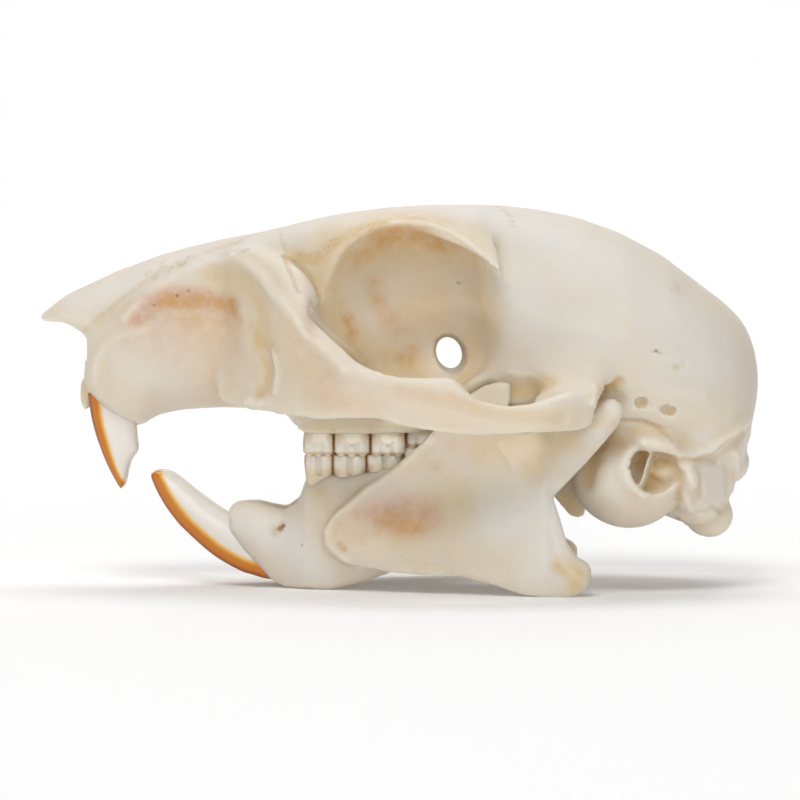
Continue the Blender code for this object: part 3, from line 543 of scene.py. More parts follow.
class Blank:
    """A piece while it is shaped: one mesh in millimetres."""

    def __init__(self, name: str, shapes: Sequence[bmesh.types.BMesh]) -> None:
        """Starts the piece from closed shapes.

        Args:
            name: The piece's name.
            shapes: Its first shapes, as separate bodies.
        """
        self.thing = bpy.data.objects.new(name, bpy.data.meshes.new(name))
        self.first = self.second = self.degree = np.empty(0, np.int64)
        bpy.context.scene.collection.objects.link(self.thing)
        self.add(shapes)

    def add(self, shapes: Sequence[bmesh.types.BMesh]) -> None:
        """Adds shapes as separate bodies."""
        joined = bmesh.new()
        joined.from_mesh(self.thing.data)
        for shape in shapes:
            piece = bpy.data.meshes.new("shape")
            shape.to_mesh(piece)
            shape.free()
            joined.from_mesh(piece)
            bpy.data.meshes.remove(piece)
        joined.to_mesh(self.thing.data)
        joined.free()

    def settle(self) -> None:
        """Applies the modifiers to the mesh."""
        graph = bpy.context.evaluated_depsgraph_get()
        done = bpy.data.meshes.new_from_object(self.thing.evaluated_get(graph))
        self.thing.modifiers.clear()
        old = self.thing.data
        self.thing.data = done
        bpy.data.meshes.remove(old)

    def fuse(self, voxel: float, smoothing: int) -> None:
        """Melts the bodies into one and softens the joins.

        Args:
            voxel: Size of the mesh that the melt leaves.
            smoothing: Number of rounds of softening.
        """
        melt = self.thing.modifiers.new("melt", "REMESH")
        melt.mode = "VOXEL"
        melt.voxel_size = voxel
        melt.use_smooth_shade = True
        soften = self.thing.modifiers.new("soften", "SMOOTH")
        soften.factor = 0.5
        soften.iterations = smoothing
        self.settle()

    def cut(self, shapes: Sequence[bmesh.types.BMesh]) -> None:
        """Takes each shape away."""
        for shape in shapes:
            cutter = Blank("cutter", [shape])
            boolean = self.thing.modifiers.new("cut", "BOOLEAN")
            boolean.operation = "DIFFERENCE"
            boolean.solver = "EXACT"
            boolean.object = cutter.thing
            self.settle()
            bpy.data.objects.remove(cutter.thing)

    def pierce(self, holes: Sequence[tuple[Pixel, float, float]], sides: Sequence[Side]) -> None:
        """Cuts the small openings for nerves and vessels.

        Args:
            holes: The place of each one in the photograph, its radius and its depth.
            sides: The sides that get them.
        """
        places, facing = self.look_up([pixel for pixel, _, _ in holes])
        cutters = []
        for place, normal, (_, radius, depth) in zip(places, facing, holes):
            turn = normal.to_track_quat("Z", "Y").to_matrix().to_4x4()
            cutter = bmesh.new()
            bmesh.ops.create_icosphere(
                cutter, subdivisions=3, radius=1.0,
                matrix=Matrix.Translation(place) @ turn @ Matrix.Diagonal((radius, radius, depth, 1)))
            cutters.append(cutter)
        self.cut(Shape.pair(cutters) if Side.RIGHT in sides else cutters)

    def thin_out(self, triangles: int) -> None:
        """Reduces the mesh to about the given number of triangles."""
        now = sum(len(face.vertices) - 2 for face in self.thing.data.polygons)
        reduce = self.thing.modifiers.new("reduce", "DECIMATE")
        reduce.ratio = min(1.0, triangles / now)
        self.settle()

    def arrays(self) -> tuple[np.ndarray, np.ndarray]:
        """The places and the normals of the mesh's points, one a row."""
        mesh = self.thing.data
        places = np.empty(len(mesh.vertices) * 3)
        normals = np.empty(len(mesh.vertices) * 3)
        mesh.vertices.foreach_get("co", places)
        mesh.vertices.foreach_get("normal", normals)
        return places.reshape(-1, 3), normals.reshape(-1, 3)

    def move_points(self, places: np.ndarray) -> None:
        """Puts the mesh's points at new places."""
        self.thing.data.vertices.foreach_set("co", places.ravel())
        self.thing.data.update()

    def look_up(self, pixels: Iterable[Pixel]) -> tuple[list[Vector], list[Vector]]:
        """Finds where lines of sight meet the surface.

        Args:
            pixels: Places in the photograph.

        Returns:
            The places on the surface and the normals there. A line that misses the piece gives
            the surface's point nearest to it.
        """
        bpy.context.view_layer.update()
        places, normals = [], []
        for pixel in pixels:
            sight = VIEW.sight(pixel)
            hit, place, normal, _ = self.thing.ray_cast(VIEW.eye, sight)
            if not hit:
                _, place, normal, _ = self.thing.closest_point_on_mesh(
                    VIEW.eye + sight * VIEW.distance)
            places.append(place.copy())
            normals.append(normal.copy())
        return places, normals

    def carve(self, strokes: Sequence[Stroke], sides: Sequence[Side]) -> None:
        """Raises or presses the surface along each stroke.

        The push fades to nothing at the stroke's radius, and only the surface that faces as the
        stroke does is moved, so the far side of a thin plate stays where it is.

        Args:
            strokes: The strokes, seen on the left side.
            sides: The sides that get them.
        """
        looked = [self.look_up(stroke.line) for stroke in strokes]
        for side in sides:
            for stroke, (path, facing) in zip(strokes, looked):
                places, normals = self.arrays()
                towards = np.array(sum(facing, Vector()).normalized()) * side.flip
                gap = distance_to_path(places, [np.array(corner) * side.flip for corner in path])
                push = fade_out(gap, stroke.radius) * np.clip(normals @ towards, 0.0, 1.0)
                amount = stroke.push.value * stroke.depth
                self.move_points(places + (amount * push)[:, None] * towards)

    def averaged(self, places: np.ndarray) -> np.ndarray:
        """Moves every point to the middle of its neighbours.

        Args:
            places: The places of the mesh's points, one a row.

        Returns:
            The new places.
        """
        count = len(places)
        total = np.empty_like(places)
        for axis in range(3):
            total[:, axis] = (np.bincount(self.first, places[self.second, axis], count)
                              + np.bincount(self.second, places[self.first, axis], count))
        return total / self.degree[:, None]

    def link_up(self) -> None:
        """Notes which points are neighbours, for averaged."""
        mesh = self.thing.data
        edges = np.empty(len(mesh.edges) * 2, np.int64)
        mesh.edges.foreach_get("vertices", edges)
        self.first, self.second = edges.reshape(-1, 2).T
        self.degree = np.maximum(np.bincount(edges, minlength=len(mesh.vertices)), 1)

    def relax(self, lines: Sequence[Line], radius: float, rounds: int) -> None:
        """Softens the creases along lines seen in the photograph, on both sides.

        Args:
            lines: The lines.
            radius: How far from them the surface is softened.
            rounds: How often.
        """
        self.link_up()
        places, _ = self.arrays()
        weight = np.zeros(len(places))
        for line in lines:
            path, _ = self.look_up(line)
            for side in Side:
                gap = distance_to_path(places, [np.array(corner) * side.flip for corner in path])
                weight = np.maximum(weight, fade_out(gap, radius))
        for _ in range(rounds):
            places = places + weight[:, None] * (self.averaged(places) - places)
        self.move_points(places)

    def drop_crumbs(self) -> None:
        """Deletes every loose body but the largest."""
        bm = bmesh.new()
        bm.from_mesh(self.thing.data)
        bodies = []
        waiting = set(bm.verts)
        while waiting:
            border = [waiting.pop()]
            body = []
            while border:
                vert = border.pop()
                body.append(vert)
                found = {edge.other_vert(vert) for edge in vert.link_edges} & waiting
                waiting -= found
                border += found
            bodies.append(body)
        bodies.sort(key=len)
        for crumb in bodies[:-1]:
            bmesh.ops.delete(bm, geom=crumb, context="VERTS")
        bm.to_mesh(self.thing.data)
        bm.free()


class Paint:
    """Soft stains and marks on a piece, with painted shade and painted highlights, kept as attributes of its
    points.
    """

    WIDE_ROUNDS = 40
    NARROW_ROUNDS = 6
    # Strength of the painted highlight on sharp rims.
    RIM_STRENGTH = 12.0

    def __init__(self, blank: Blank, layers: Sequence[str]) -> None:
        """Starts with nothing painted.

        Args:
            blank: The piece, shaped and still in millimetres.
            layers: The kinds of colour that its material reads.
        """
        self.blank = blank
        self.places, self.normals = blank.arrays()
        self.layers = {layer: np.zeros(len(self.places)) for layer in layers}

    def blot(self, blots: dict[str, Sequence[Blot]], sides: Sequence[Side]) -> None:
        """Paints blots.

        Args:
            blots: The blots of each layer, seen on the left side.
            sides: The sides that get them.
        """
        for layer, marks in blots.items():
            for mark in marks:
                path, _ = self.blank.look_up(mark.line)
                for side in sides:
                    gap = distance_to_path(self.places, [np.array(corner) * side.flip for corner in path])
                    self.lay(layer, fade_out(gap, mark.radius) * mark.strength)

    def lay(self, layer: str, weight: np.ndarray) -> None:
        """Keeps the stronger of a weight and what a layer has at each point."""
        self.layers[layer] = np.maximum(self.layers[layer], weight)

    def hollowness(self, rounds: int) -> np.ndarray:
        """Works out how deep each point lies in a hollow.

        Args:
            rounds: Rounds of smoothing; more find wider hollows.

        Returns:
            How far smoothing would move each point outwards, in millimetres.
        """
        self.blank.link_up()
        smooth = self.places
        for _ in range(rounds):
            smooth = 0.5 * smooth + 0.5 * self.blank.averaged(smooth)
        return ((smooth - self.places) * self.normals).sum(axis=1)

    def shade_bone(self, strength: float, most: float) -> None:
        """Paints tan shade into the wide hollows and a pale highlight onto the sharp rims.

        Args:
            strength: How fast the painted shade grows with the depth of a hollow.
            most: Where the painted shade stops growing.
        """
        # Painted shade: tan laid into the wide hollows.
        self.lay("tan", np.clip(self.hollowness(self.WIDE_ROUNDS) * strength, 0.0, most))
        # Painted highlight: a pale colour laid onto the sharp rims.
        self.lay("rim", np.clip(-self.hollowness(self.NARROW_ROUNDS) * self.RIM_STRENGTH, 0.0, 1.0))

    def keep(self) -> None:
        """Writes every layer to the mesh."""
        for layer, values in self.layers.items():
            attribute = self.blank.thing.data.attributes.new(layer, "FLOAT", "POINT")
            attribute.data.foreach_set("value", np.clip(values, 0.0, 1.0).astype(np.float32))


class Signal:
    """A shader socket that takes part in Python expressions."""

    def __init__(self, graph: "Graph", socket: bpy.types.NodeSocket) -> None:
        """Wraps an output socket of a graph."""
        self.graph = graph
        self.socket = socket

    def maths(self, operation: str, *values: Any, clamp: bool = False) -> "Signal":
        """Adds a Math node on the given values and returns its result."""
        settings = {"operation": operation, "use_clamp": clamp}
        return self.graph.node("ShaderNodeMath", settings, dict(enumerate(values)))

    def __add__(self, other: Any) -> "Signal":
        """The sum."""
        return self.maths("ADD", self, other)

    def __radd__(self, other: Any) -> "Signal":
        """The sum."""
        return self.maths("ADD", other, self)

    def __sub__(self, other: Any) -> "Signal":
        """The difference."""
        return self.maths("SUBTRACT", self, other)

    def __rsub__(self, other: Any) -> "Signal":
        """The difference."""
        return self.maths("SUBTRACT", other, self)

    def __mul__(self, other: Any) -> "Signal":
        """The product."""
        return self.maths("MULTIPLY", self, other)

    def __rmul__(self, other: Any) -> "Signal":
        """The product."""
        return self.maths("MULTIPLY", other, self)

    def clamped(self) -> "Signal":
        """The value kept between 0 and 1."""
        return self.maths("ADD", self, 0.0, clamp=True)


class Graph:
    """A material with its nodes."""

    def __init__(self, name: str, roughness: float) -> None:
        """Makes a material with a Principled shader.

        Args:
            name: The material's name.
            roughness: The shader's roughness where nothing else feeds it.
        """
        self.material = bpy.data.materials.new(name)
        self.material.use_nodes = True
        self.tree = self.material.node_tree
        self.shader = self.tree.nodes["Principled BSDF"]
        self.shader.inputs["Roughness"].default_value = roughness
        self.place = self.node("ShaderNodeTexCoord", {}, {}, "Object")

    def node(self, kind: str, settings: dict[str, Any], sockets: dict[Any, Any],
             output: Any = 0) -> Signal:
        """Adds a node.

        Args:
            kind: The node's type.
            settings: Its settings; stops are a ramp's positions and colours.
            sockets: Values or signals of its input sockets, by name or number.
            output: Name or number of the output that is returned.

        Returns:
            The output as a signal.
        """
        made = self.tree.nodes.new(kind)
        for name, value in settings.items():
            if name == "stops":
                self.set_stops(made.color_ramp, value)
            else:
                setattr(made, name, value)
        for name, value in sockets.items():
            self.feed(made.inputs[name], value)
        return Signal(self, made.outputs[output])

    @staticmethod
    def set_stops(ramp: bpy.types.ColorRamp, stops: Sequence[tuple[float, Colour]]) -> None:
        """Gives a ramp its stops."""
        while len(ramp.elements) < len(stops):
            ramp.elements.new(1.0)
        for element, (position, colour) in zip(ramp.elements, stops):
            element.position = position
            element.color = (*colour, 1.0)

    def feed(self, socket: bpy.types.NodeSocket, value: Any) -> None:
        """Links a signal to a socket, or sets the socket to a value."""
        if isinstance(value, Signal):
            self.tree.links.new(value.socket, socket)
        elif isinstance(value, tuple) and len(value) == 3 and socket.type == "RGBA":
            socket.default_value = (*value, 1.0)
        else:
            socket.default_value = value

    def constant(self, **values: Any) -> None:
        """Sets sockets of the shader, whose names have _ for a space."""
        for name, value in values.items():
            self.feed(self.shader.inputs[name.replace("_", " ")], value)

    def drive(self, name: str, signal: Signal) -> None:
        """Links a signal to a socket of the shader."""
        self.tree.links.new(signal.socket, self.shader.inputs[name])

    def attribute(self, name: str) -> Signal:
        """A painted layer of the piece."""
        return self.node("ShaderNodeAttribute", {"attribute_name": name}, {}, "Fac")

    def noise(self, size: float, detail: float = 3.0, roughness: float = 0.55) -> Signal:
        """Soft random patches; size is their width in millimetres."""
        return self.node("ShaderNodeTexNoise", {}, {
            "Vector": self.place, "Scale": 1.0 / (size * MILLIMETRE), "Detail": detail,
            "Roughness": roughness}, "Fac")

    def streaks(self, stretch: Point, scale: float, detail: float, roughness: float = 0.5) -> Signal:
        """Adds patches that are drawn out along an axis.

        Args:
            stretch: The pattern's scale along each axis; a small one draws it out.
            scale: Number of patches in a metre where the stretch is 1.
            detail: Number of finer layers.
            roughness: Share of the finer layers.

        Returns:
            The pattern.
        """
        drawn = self.node("ShaderNodeMapping", {}, {"Vector": self.place, "Scale": stretch})
        return self.node("ShaderNodeTexNoise", {}, {
            "Vector": drawn, "Scale": scale, "Detail": detail, "Roughness": roughness}, "Fac")

    def cells(self, size: float) -> Signal:
        """The distance to the nearest of scattered dots, which are size millimetres apart."""
        return self.node("ShaderNodeTexVoronoi", {}, {
            "Vector": self.place, "Scale": 1.0 / (size * MILLIMETRE)}, "Distance")

    def band(self, signal: Signal, low: float, high: float) -> Signal:
        """A signal stretched so that low becomes 0 and high becomes 1."""
        return self.node("ShaderNodeMapRange", {"interpolation_type": "SMOOTHSTEP"}, {
            "Value": signal, "From Min": low, "From Max": high, "To Min": 0.0, "To Max": 1.0})

    def mix(self, factor: Any, first: Any, second: Any) -> Signal:
        """Blends two colours."""
        return self.node("ShaderNodeMix", {"data_type": "RGBA"}, {
            0: factor, 6: first, 7: second}, 2)

    def bump(self, height: Signal, distance: float) -> None:
        """Gives the shader's normal small relief; distance is its depth in millimetres."""
        relief = self.node("ShaderNodeBump", {}, {
            "Strength": 1.0, "Distance": distance * MILLIMETRE, "Height": height})
        self.drive("Normal", relief)


@dataclass(frozen=True)
class BoneFinish:
    """Dry ivory bone with stains, lines and pores, painted shade in hollows and holes, and painted
    highlights on sharp rims; sizes are in millimetres.
    """

    ivory: Colour = (0.76, 0.68, 0.58)
    honey: Colour = (0.73, 0.63, 0.465)
    chalk: Colour = (0.775, 0.75, 0.70)
    # Tan of the bone's own stains, also laid as painted shade in hollows.
    tan: Colour = (0.71, 0.545, 0.29)
    pink: Colour = (0.65, 0.41, 0.28)
    orange: Colour = (0.66, 0.37, 0.13)
    seam: Colour = (0.60, 0.42, 0.20)
    # Dark brown of the painted shade in the tiny holes.
    umber: Colour = (0.36, 0.19, 0.07)
    # Colour of the painted highlight on sharp rims.
    rim: Colour = (0.84, 0.80, 0.73)
    broad_size: float = 8.0
    cloud_size: float = 2.6
    fine_size: float = 1.0
    grain_size: float = 0.25
    pore_gap: float = 0.34
    fibre_stretch: Point = (0.2, 1.0, 1.0)
    fibre_scale: float = 2600.0
    relief: float = 0.07
    layers: tuple[str, ...] = ("chalk", "tan", "pink", "orange", "seam", "umber", "pore", "rim")

    def make(self) -> bpy.types.Material:
        """Builds the material."""
        graph = Graph("bone", 0.42)
        broad = graph.noise(self.broad_size, 4.0)
        cloud = graph.noise(self.cloud_size, 4.0, 0.6)
        fine = graph.noise(self.fine_size, 5.0, 0.6)
        grain = graph.noise(self.grain_size, 4.0, 0.65)
        fibre = graph.streaks(self.fibre_stretch, self.fibre_scale, 3.0, 0.6)
        warm = graph.band(broad, 0.35, 0.65) * 0.45 + graph.band(cloud, 0.45, 0.75) * 0.35
        colour = graph.mix(warm.clamped(), self.ivory, self.honey)
        colour = graph.mix(graph.attribute("chalk") * (0.7 + 0.4 * cloud), colour, self.chalk)
        blotch = graph.band(fine, 0.28, 0.72)
        # The tan layer is partly the bone's own tan and partly painted shade; orange is mostly stain with
        # some painted shade.
        for layer, stain, even, uneven in (("tan", self.tan, 0.65, 0.45), ("pink", self.pink, 0.5, 0.6),
                                           ("orange", self.orange, 0.4, 0.8)):
            amount = graph.attribute(layer) * (even + uneven * blotch)
            colour = graph.mix(amount.clamped(), colour, stain)
        # Painted highlight on the sharp rims.
        colour = graph.mix(graph.attribute("rim") * 0.45, colour, self.rim)
        dots = 1.0 - graph.band(graph.cells(self.pore_gap), 0.12, 0.34)
        pores = (graph.attribute("pore") * dots).clamped()
        colour = graph.mix(pores * 0.7, colour, self.seam)
        patchy = 0.5 + 0.7 * graph.band(grain, 0.3, 0.7)
        seams = (graph.attribute("seam") * patchy).clamped()
        colour = graph.mix(seams, colour, self.seam)
        # Painted shade darkening the tiny holes.
        colour = graph.mix((graph.attribute("umber") * patchy).clamped(), colour, self.umber)
        graph.drive("Base Color", colour)
        graph.drive("Roughness", 0.34 + 0.16 * fine + 0.10 * graph.attribute("chalk"))
        height = 0.45 * grain + 0.9 * fine + 0.55 * fibre - 0.9 * pores - 0.4 * seams
        graph.bump(height, self.relief)
        graph.constant(Subsurface_Weight=0.55, Subsurface_Radius=(1.0, 0.66, 0.34),
                       Subsurface_Scale=0.0022, IOR=1.48)
        return graph.material


@dataclass(frozen=True)
class CheekEnamelFinish:
    """Pearly enamel, with honey-coloured necks and brown lines between the teeth."""

    pearl: Colour = (0.88, 0.84, 0.75)
    milk: Colour = (0.85, 0.77, 0.64)
    neck: Colour = (0.80, 0.63, 0.40)
    stain: Colour = (0.55, 0.28, 0.08)
    patch_size: float = 0.7
    ripple_size: float = 0.3
    relief: float = 0.02
    layers: tuple[str, ...] = ("neck", "stain")

    def make(self) -> bpy.types.Material:
        """Builds the material."""
        graph = Graph("cheek_enamel", 0.18)
        patch = graph.noise(self.patch_size)
        colour = graph.mix(graph.band(patch, 0.35, 0.7) * 0.6, self.pearl, self.milk)
        necks = graph.attribute("neck") * (0.5 + 0.6 * patch)
        stains = graph.attribute("stain") * (0.5 + 0.9 * patch)
        colour = graph.mix(necks.clamped(), colour, self.neck)
        colour = graph.mix(stains.clamped(), colour, self.stain)
        graph.drive("Base Color", colour)
        graph.drive("Roughness", 0.1 + 0.18 * patch)
        graph.bump(graph.noise(self.ripple_size), self.relief)
        graph.constant(Subsurface_Weight=0.5, Subsurface_Radius=(1.0, 0.8, 0.6),
                       Subsurface_Scale=0.0012, IOR=1.62, Coat_Weight=0.4, Coat_Roughness=0.05)
        return graph.material


@dataclass(frozen=True)
class IncisorFinish:
    """Orange enamel on the front of a gnawing tooth, cream dentine on its sides and back."""

    rind: Colour = (0.30, 0.06, 0.003)
    orange: Colour = (0.60, 0.19, 0.004)
    amber: Colour = (0.82, 0.44, 0.05)
    cream: Colour = (0.80, 0.715, 0.60)
    milk: Colour = (0.83, 0.79, 0.73)
    wisp_size: float = 1.0
    streak_stretch: Point = (1.0, 6.0, 0.4)
    streak_scale: float = 1400.0
    relief: float = 0.012
    layers: tuple[str, ...] = ("front", "tip")

    def make(self) -> bpy.types.Material:
        """Builds the material."""
        graph = Graph("incisor_enamel", 0.2)
        wisp = graph.noise(self.wisp_size, 4.0)
        front = graph.attribute("front") + 0.07 * (wisp - 0.5)
        skin = graph.node("ShaderNodeValToRGB", {"stops": (
            (0.0, self.milk), (0.16, self.cream), (0.30, self.amber), (0.48, self.orange),
            (0.74, self.orange), (0.97, self.rind))}, {"Fac": front})
        streak = graph.streaks(self.streak_stretch, self.streak_scale, 2.0)
        worn = graph.attribute("tip") * (0.5 + 0.5 * wisp)
        graph.drive("Base Color", graph.mix(worn.clamped(), skin, self.amber))
        graph.drive("Roughness", 0.14 + 0.16 * streak)
        graph.bump(0.6 * streak + 0.4 * wisp, self.relief)
        graph.constant(Subsurface_Weight=0.15, Subsurface_Radius=(1.0, 0.6, 0.35),
                       Subsurface_Scale=0.0005, IOR=1.5, Coat_Weight=0.2, Coat_Roughness=0.08)
        return graph.material


@dataclass(frozen=True)
class PaleFloorFinish:
    """Matt white paper."""

    white: Colour = (0.93, 0.93, 0.93)
    shade: Colour = (0.925, 0.925, 0.925)
    patch_size: float = 40.0

    def make(self) -> bpy.types.Material:
        """Builds the material."""
        graph = Graph("white_paper", 0.9)
        patch = graph.noise(self.patch_size, 2.0)
        graph.drive("Base Color", graph.mix(patch * 0.2, self.white, self.shade))
        graph.constant(Specular_IOR_Level=0.1, Emission_Color=self.white, Emission_Strength=0.1)
        return graph.material


class Piece:
    """What all finished pieces of the skull share."""

    def __init__(self, blank: Blank, nodes: Sequence[str], slot: str,
                 material: bpy.types.Material) -> None:
        """Scales a shaped piece to metres, dresses it and ties it to the frame.

        Args:
            blank: The shaped and painted piece.
            nodes: The solids that it stands for.
            slot: The record's material slot; not used.
            material: Its finish.
        """
        self.thing = blank.thing
        mesh = self.thing.data
        mesh.transform(Matrix.Scale(MILLIMETRE, 4))
        mesh.materials.clear()
        mesh.materials.append(material)
        mesh.shade_smooth()
        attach(self.thing, BODY)
        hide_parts(*nodes)
        log.info("%s: %d faces", self.thing.name, len(mesh.polygons))

    @staticmethod
    def mirrored(blank: Blank, name: str) -> Blank:
        """Copies a left blank, with its painted layers, to the right.

        Args:
            blank: The left blank.
            name: The name of the copy.

        Returns:
            The right blank.
        """
        made = Blank(name, [])
        made.thing.data = blank.thing.data.copy()
        mesh = made.thing.data
        mesh.transform(Matrix.Diagonal((1, -1, 1, 1)))
        mesh.flip_normals()
        return made


@dataclass
class Cranium:
    """The cranium, with its hollows, holes, crests, seams and stains, and with painted shade and painted
    highlights.

    The tables are in millimetres. Those of sections are the arguments of Section.upright, or of
    Section.strap for CHEEK_ARCH, GUM_RIDGE and PALATE_WING, and those of one ellipsoid are the
    arguments of Shape.egg.
    """

    rough_voxel: float = 0.36
    middle_voxel: float = 0.3
    fine_voxel: float = 0.25
    rough_smoothing: int = 5
    fine_smoothing: int = 3
    crease_radius: float = 3.4
    crease_rounds: int = 60
    triangles: int = 196000
    # How strongly tan painted shade fills the hollows, and its most.
    hollow_tan: float = 2.2
    most_tan: float = 0.7
    seam_width: float = 0.34
    finish: BoneFinish = field(default_factory=BoneFinish)

    BRAINCASE = (
        (-14.5, 5.6, 32.2, 24.0, 29.5, 2.6, 2.0), (-11.5, 7.0, 32.85, 20.0, 30.0, 2.8, 2.0),
        (-8.5, 8.4, 33.65, 18.0, 31.2, 2.9, 2.0), (-5.0, 9.6, 34.35, 17.0, 31.8, 2.7, 2.0),
        (-1.0, 10.1, 34.85, 16.5, 32.4, 2.6, 2.0), (3.0, 10.1, 35.1, 16.0, 32.4, 2.5, 2.0),
        (6.5, 10.0, 35.1, 15.0, 31.2, 2.4, 2.0), (9.5, 10.0, 35.05, 13.6, 28.0, 2.35, 2.0),
        (12.5, 10.7, 34.7, 12.2, 24.5, 2.3, 1.9), (16.0, 12.0, 34.05, 11.0, 21.5, 2.15, 1.9),
        (20.0, 12.7, 32.65, 10.0, 20.0, 2.1, 1.9), (24.0, 12.5, 30.55, 9.0, 18.5, 2.1, 1.9),
        (27.5, 11.5, 27.9, 8.2, 17.2, 2.15, 2.1), (29.8, 10.1, 26.15, 8.6, 16.6, 2.2, 2.2),
        (31.1, 8.5, 24.9, 9.8, 16.8, 2.1, 2.2), (31.8, 7.2, 23.9, 13.0, 17.6, 2.0, 2.1),
        (32.4, 5.4, 22.4, 15.6, 18.6), (32.75, 3.2, 20.7, 17.2, 18.9),
    )
    ROSTRUM = (
        (-29.1, 2.9, 24.0, 18.4, 20.6, 2.6, 2.2), (-28.5, 3.9, 27.2, 17.6, 20.8, 2.5, 2.2),
        (-27.4, 4.5, 28.4, 16.3, 21.0, 2.5, 2.3), (-26.4, 4.8, 28.9, 15.6, 21.3, 2.5, 2.3),
        (-25.4, 5.0, 29.3, 15.0, 21.6, 2.5, 2.3), (-24.2, 5.2, 29.7, 14.6, 22.0, 2.5, 2.2),
        (-23.4, 5.3, 30.0, 15.0, 22.2, 2.5, 2.2), (-22.4, 5.4, 30.4, 15.7, 22.5, 2.5, 2.1),
        (-20.0, 5.7, 31.1, 16.2, 23.0, 2.4, 2.1), (-16.5, 6.1, 31.95, 16.4, 24.0, 2.4, 2.1),
        (-13.0, 6.9, 32.6, 16.3, 24.5, 2.4, 2.2), (-9.0, 7.6, 33.5, 15.8, 25.5, 2.4, 2.2),
        (-6.0, 7.6, 33.9, 15.6, 27.5, 2.4, 2.2),
    )
    NASALS = (
        (-33.25, 1.4, 24.85, 24.4, 24.7), (-32.3, 2.7, 25.6, 24.3, 24.75, 2.4),
        (-31.0, 3.7, 26.6, 24.3, 24.8, 2.4), (-30.3, 4.0, 27.05, 24.0, 24.7, 2.4),
        (-29.6, 4.2, 27.35, 23.3, 24.6, 2.4),
        (-28.2, 4.4, 28.0, 23.0, 24.6, 2.4), (-26.0, 4.4, 29.0, 23.0, 25.0, 2.4),
    )
    TOOTH_BLOCK = (
        (-10.2, 6.2, 19.0, 15.3, 17.5, 2.6, 3.0), (-9.0, 6.9, 18.8, 14.5, 16.8, 2.8, 4.0),
        (-6.0, 7.4, 18.4, 14.5, 16.6, 2.8, 4.0), (-1.0, 7.5, 18.2, 14.5, 16.4, 2.8, 4.0),
        (3.0, 7.2, 18.0, 14.6, 16.3, 2.8, 4.0), (4.8, 6.2, 17.6, 14.9, 16.2, 2.4, 3.0),
        (6.0, 4.6, 17.0, 15.0, 16.0),
    )
    BASE_KEEL = (
        (4.0, 2.4, 19.0, 15.2, 17.0), (8.0, 2.7, 18.5, 13.4, 16.0), (12.0, 4.0, 17.0, 11.2, 14.0),
        (17.0, 5.0, 15.0, 9.2, 12.0), (22.0, 5.5, 13.0, 7.4, 10.5), (26.0, 5.4, 11.5, 5.8, 9.0),
        (27.6, 5.0, 10.5, 5.6, 8.2),
    )
    CHEEK_ARCH = (
        (-16.6, -4.9, 29.8, 17.4, 1.4), (-15.2, -5.9, 30.2, 16.6, 2.0, 0.3),
        (-13.8, -7.5, 29.6, 16.4, 2.2, 0.6), (-12.3, -9.3, 28.4, 16.3, 2.2, 0.9),
        (-10.8, -11.1, 27.0, 16.1, 2.2, 1.4), (-9.2, -12.8, 25.8, 16.0, 2.1, 2.0),
        (-7.4, -14.2, 24.3, 15.8, 2.0, 2.2), (-5.6, -15.3, 22.7, 15.9, 1.9, 1.9),
        (-3.9, -16.0, 21.1, 16.0, 1.8, 1.2), (-2.1, -16.5, 20.2, 16.0, 1.7, 0.7),
        (-0.4, -16.9, 19.8, 15.6, 1.6, 0.3), (2.0, -17.3, 19.7, 15.1, 1.6),
        (4.4, -17.6, 19.8, 14.8, 1.6), (5.2, -17.7, 19.2, 14.7, 1.6), (6.6, -17.8, 17.8, 14.65, 1.6),
        (9.2, -17.8, 17.2, 14.75, 1.6), (11.4, -17.6, 17.4, 14.9, 1.8),
        (13.2, -16.8, 18.0, 14.9, 2.6), (14.8, -15.6, 18.5, 14.9, 3.2),
        (16.2, -14.7, 18.4, 15.0, 3.2), (17.3, -14.1, 18.2, 15.4, 2.6),
    )
    SOCKET_FRONT = (
        (-15.6, 2.0, 31.0, 17.6, 25.0, 2.4, 2.4, -4.4), (-13.6, 3.4, 31.4, 17.2, 25.0, 2.4, 2.4, -5.6),
        (-12.0, 4.2, 31.0, 16.8, 24.0, 2.4, 2.4, -6.4), (-10.2, 4.8, 30.3, 16.5, 22.8, 2.2, 2.4, -7.6),
        (-8.6, 4.6, 28.6, 16.3, 21.5, 2.2, 2.4, -8.8), (-7.0, 4.0, 25.8, 16.3, 20.5, 2.2, 2.4, -9.6),
        (-5.2, 3.2, 22.6, 16.4, 19.0, 2.2, 2.4, -10.0), (-3.4, 2.2, 20.0, 16.5, 18.2, 2.2, 2.4, -9.4),
        (-1.6, 1.0, 18.6, 16.8, 17.7, 2.0, 2.0, -8.6),
    )
    EAR_BLOCK = (
        (22.5, 2.6, 14.8, 9.8, 12.5, 2.0, 2.0, -9.4), (25.2, 2.2, 14.4, 7.6, 11.5, 2.0, 2.0, -9.2),
        (27.2, 2.2, 14.0, 6.6, 11.0, 2.0, 2.0, -8.2), (28.8, 1.8, 13.4, 7.4, 10.8, 2.0, 2.0, -6.8),
        (30.4, 1.2, 13.0, 9.0, 11.0, 2.0, 2.0, -5.4),
    )
    GUM_RIDGE = (
        (-9.3, -6.9, 16.4, 14.5, 0.9), (-8.0, -7.2, 16.6, 14.2, 1.1), (-3.0, -7.5, 16.6, 14.2, 1.1),
        (1.0, -7.4, 16.6, 14.3, 1.1), (3.8, -7.0, 16.4, 14.6, 0.9),
    )
    PALATE_WING = (
        (4.6, -3.6, 16.6, 14.6, 1.0), (8.5, -3.5, 15.6, 11.9, 1.0), (12.6, -3.6, 13.6, 10.2, 1.0),
        (14.6, -3.6, 12.6, 7.6, 1.1), (15.8, -3.6, 11.4, 6.3, 1.2), (17.0, -3.7, 9.6, 6.5, 1.0),
    )
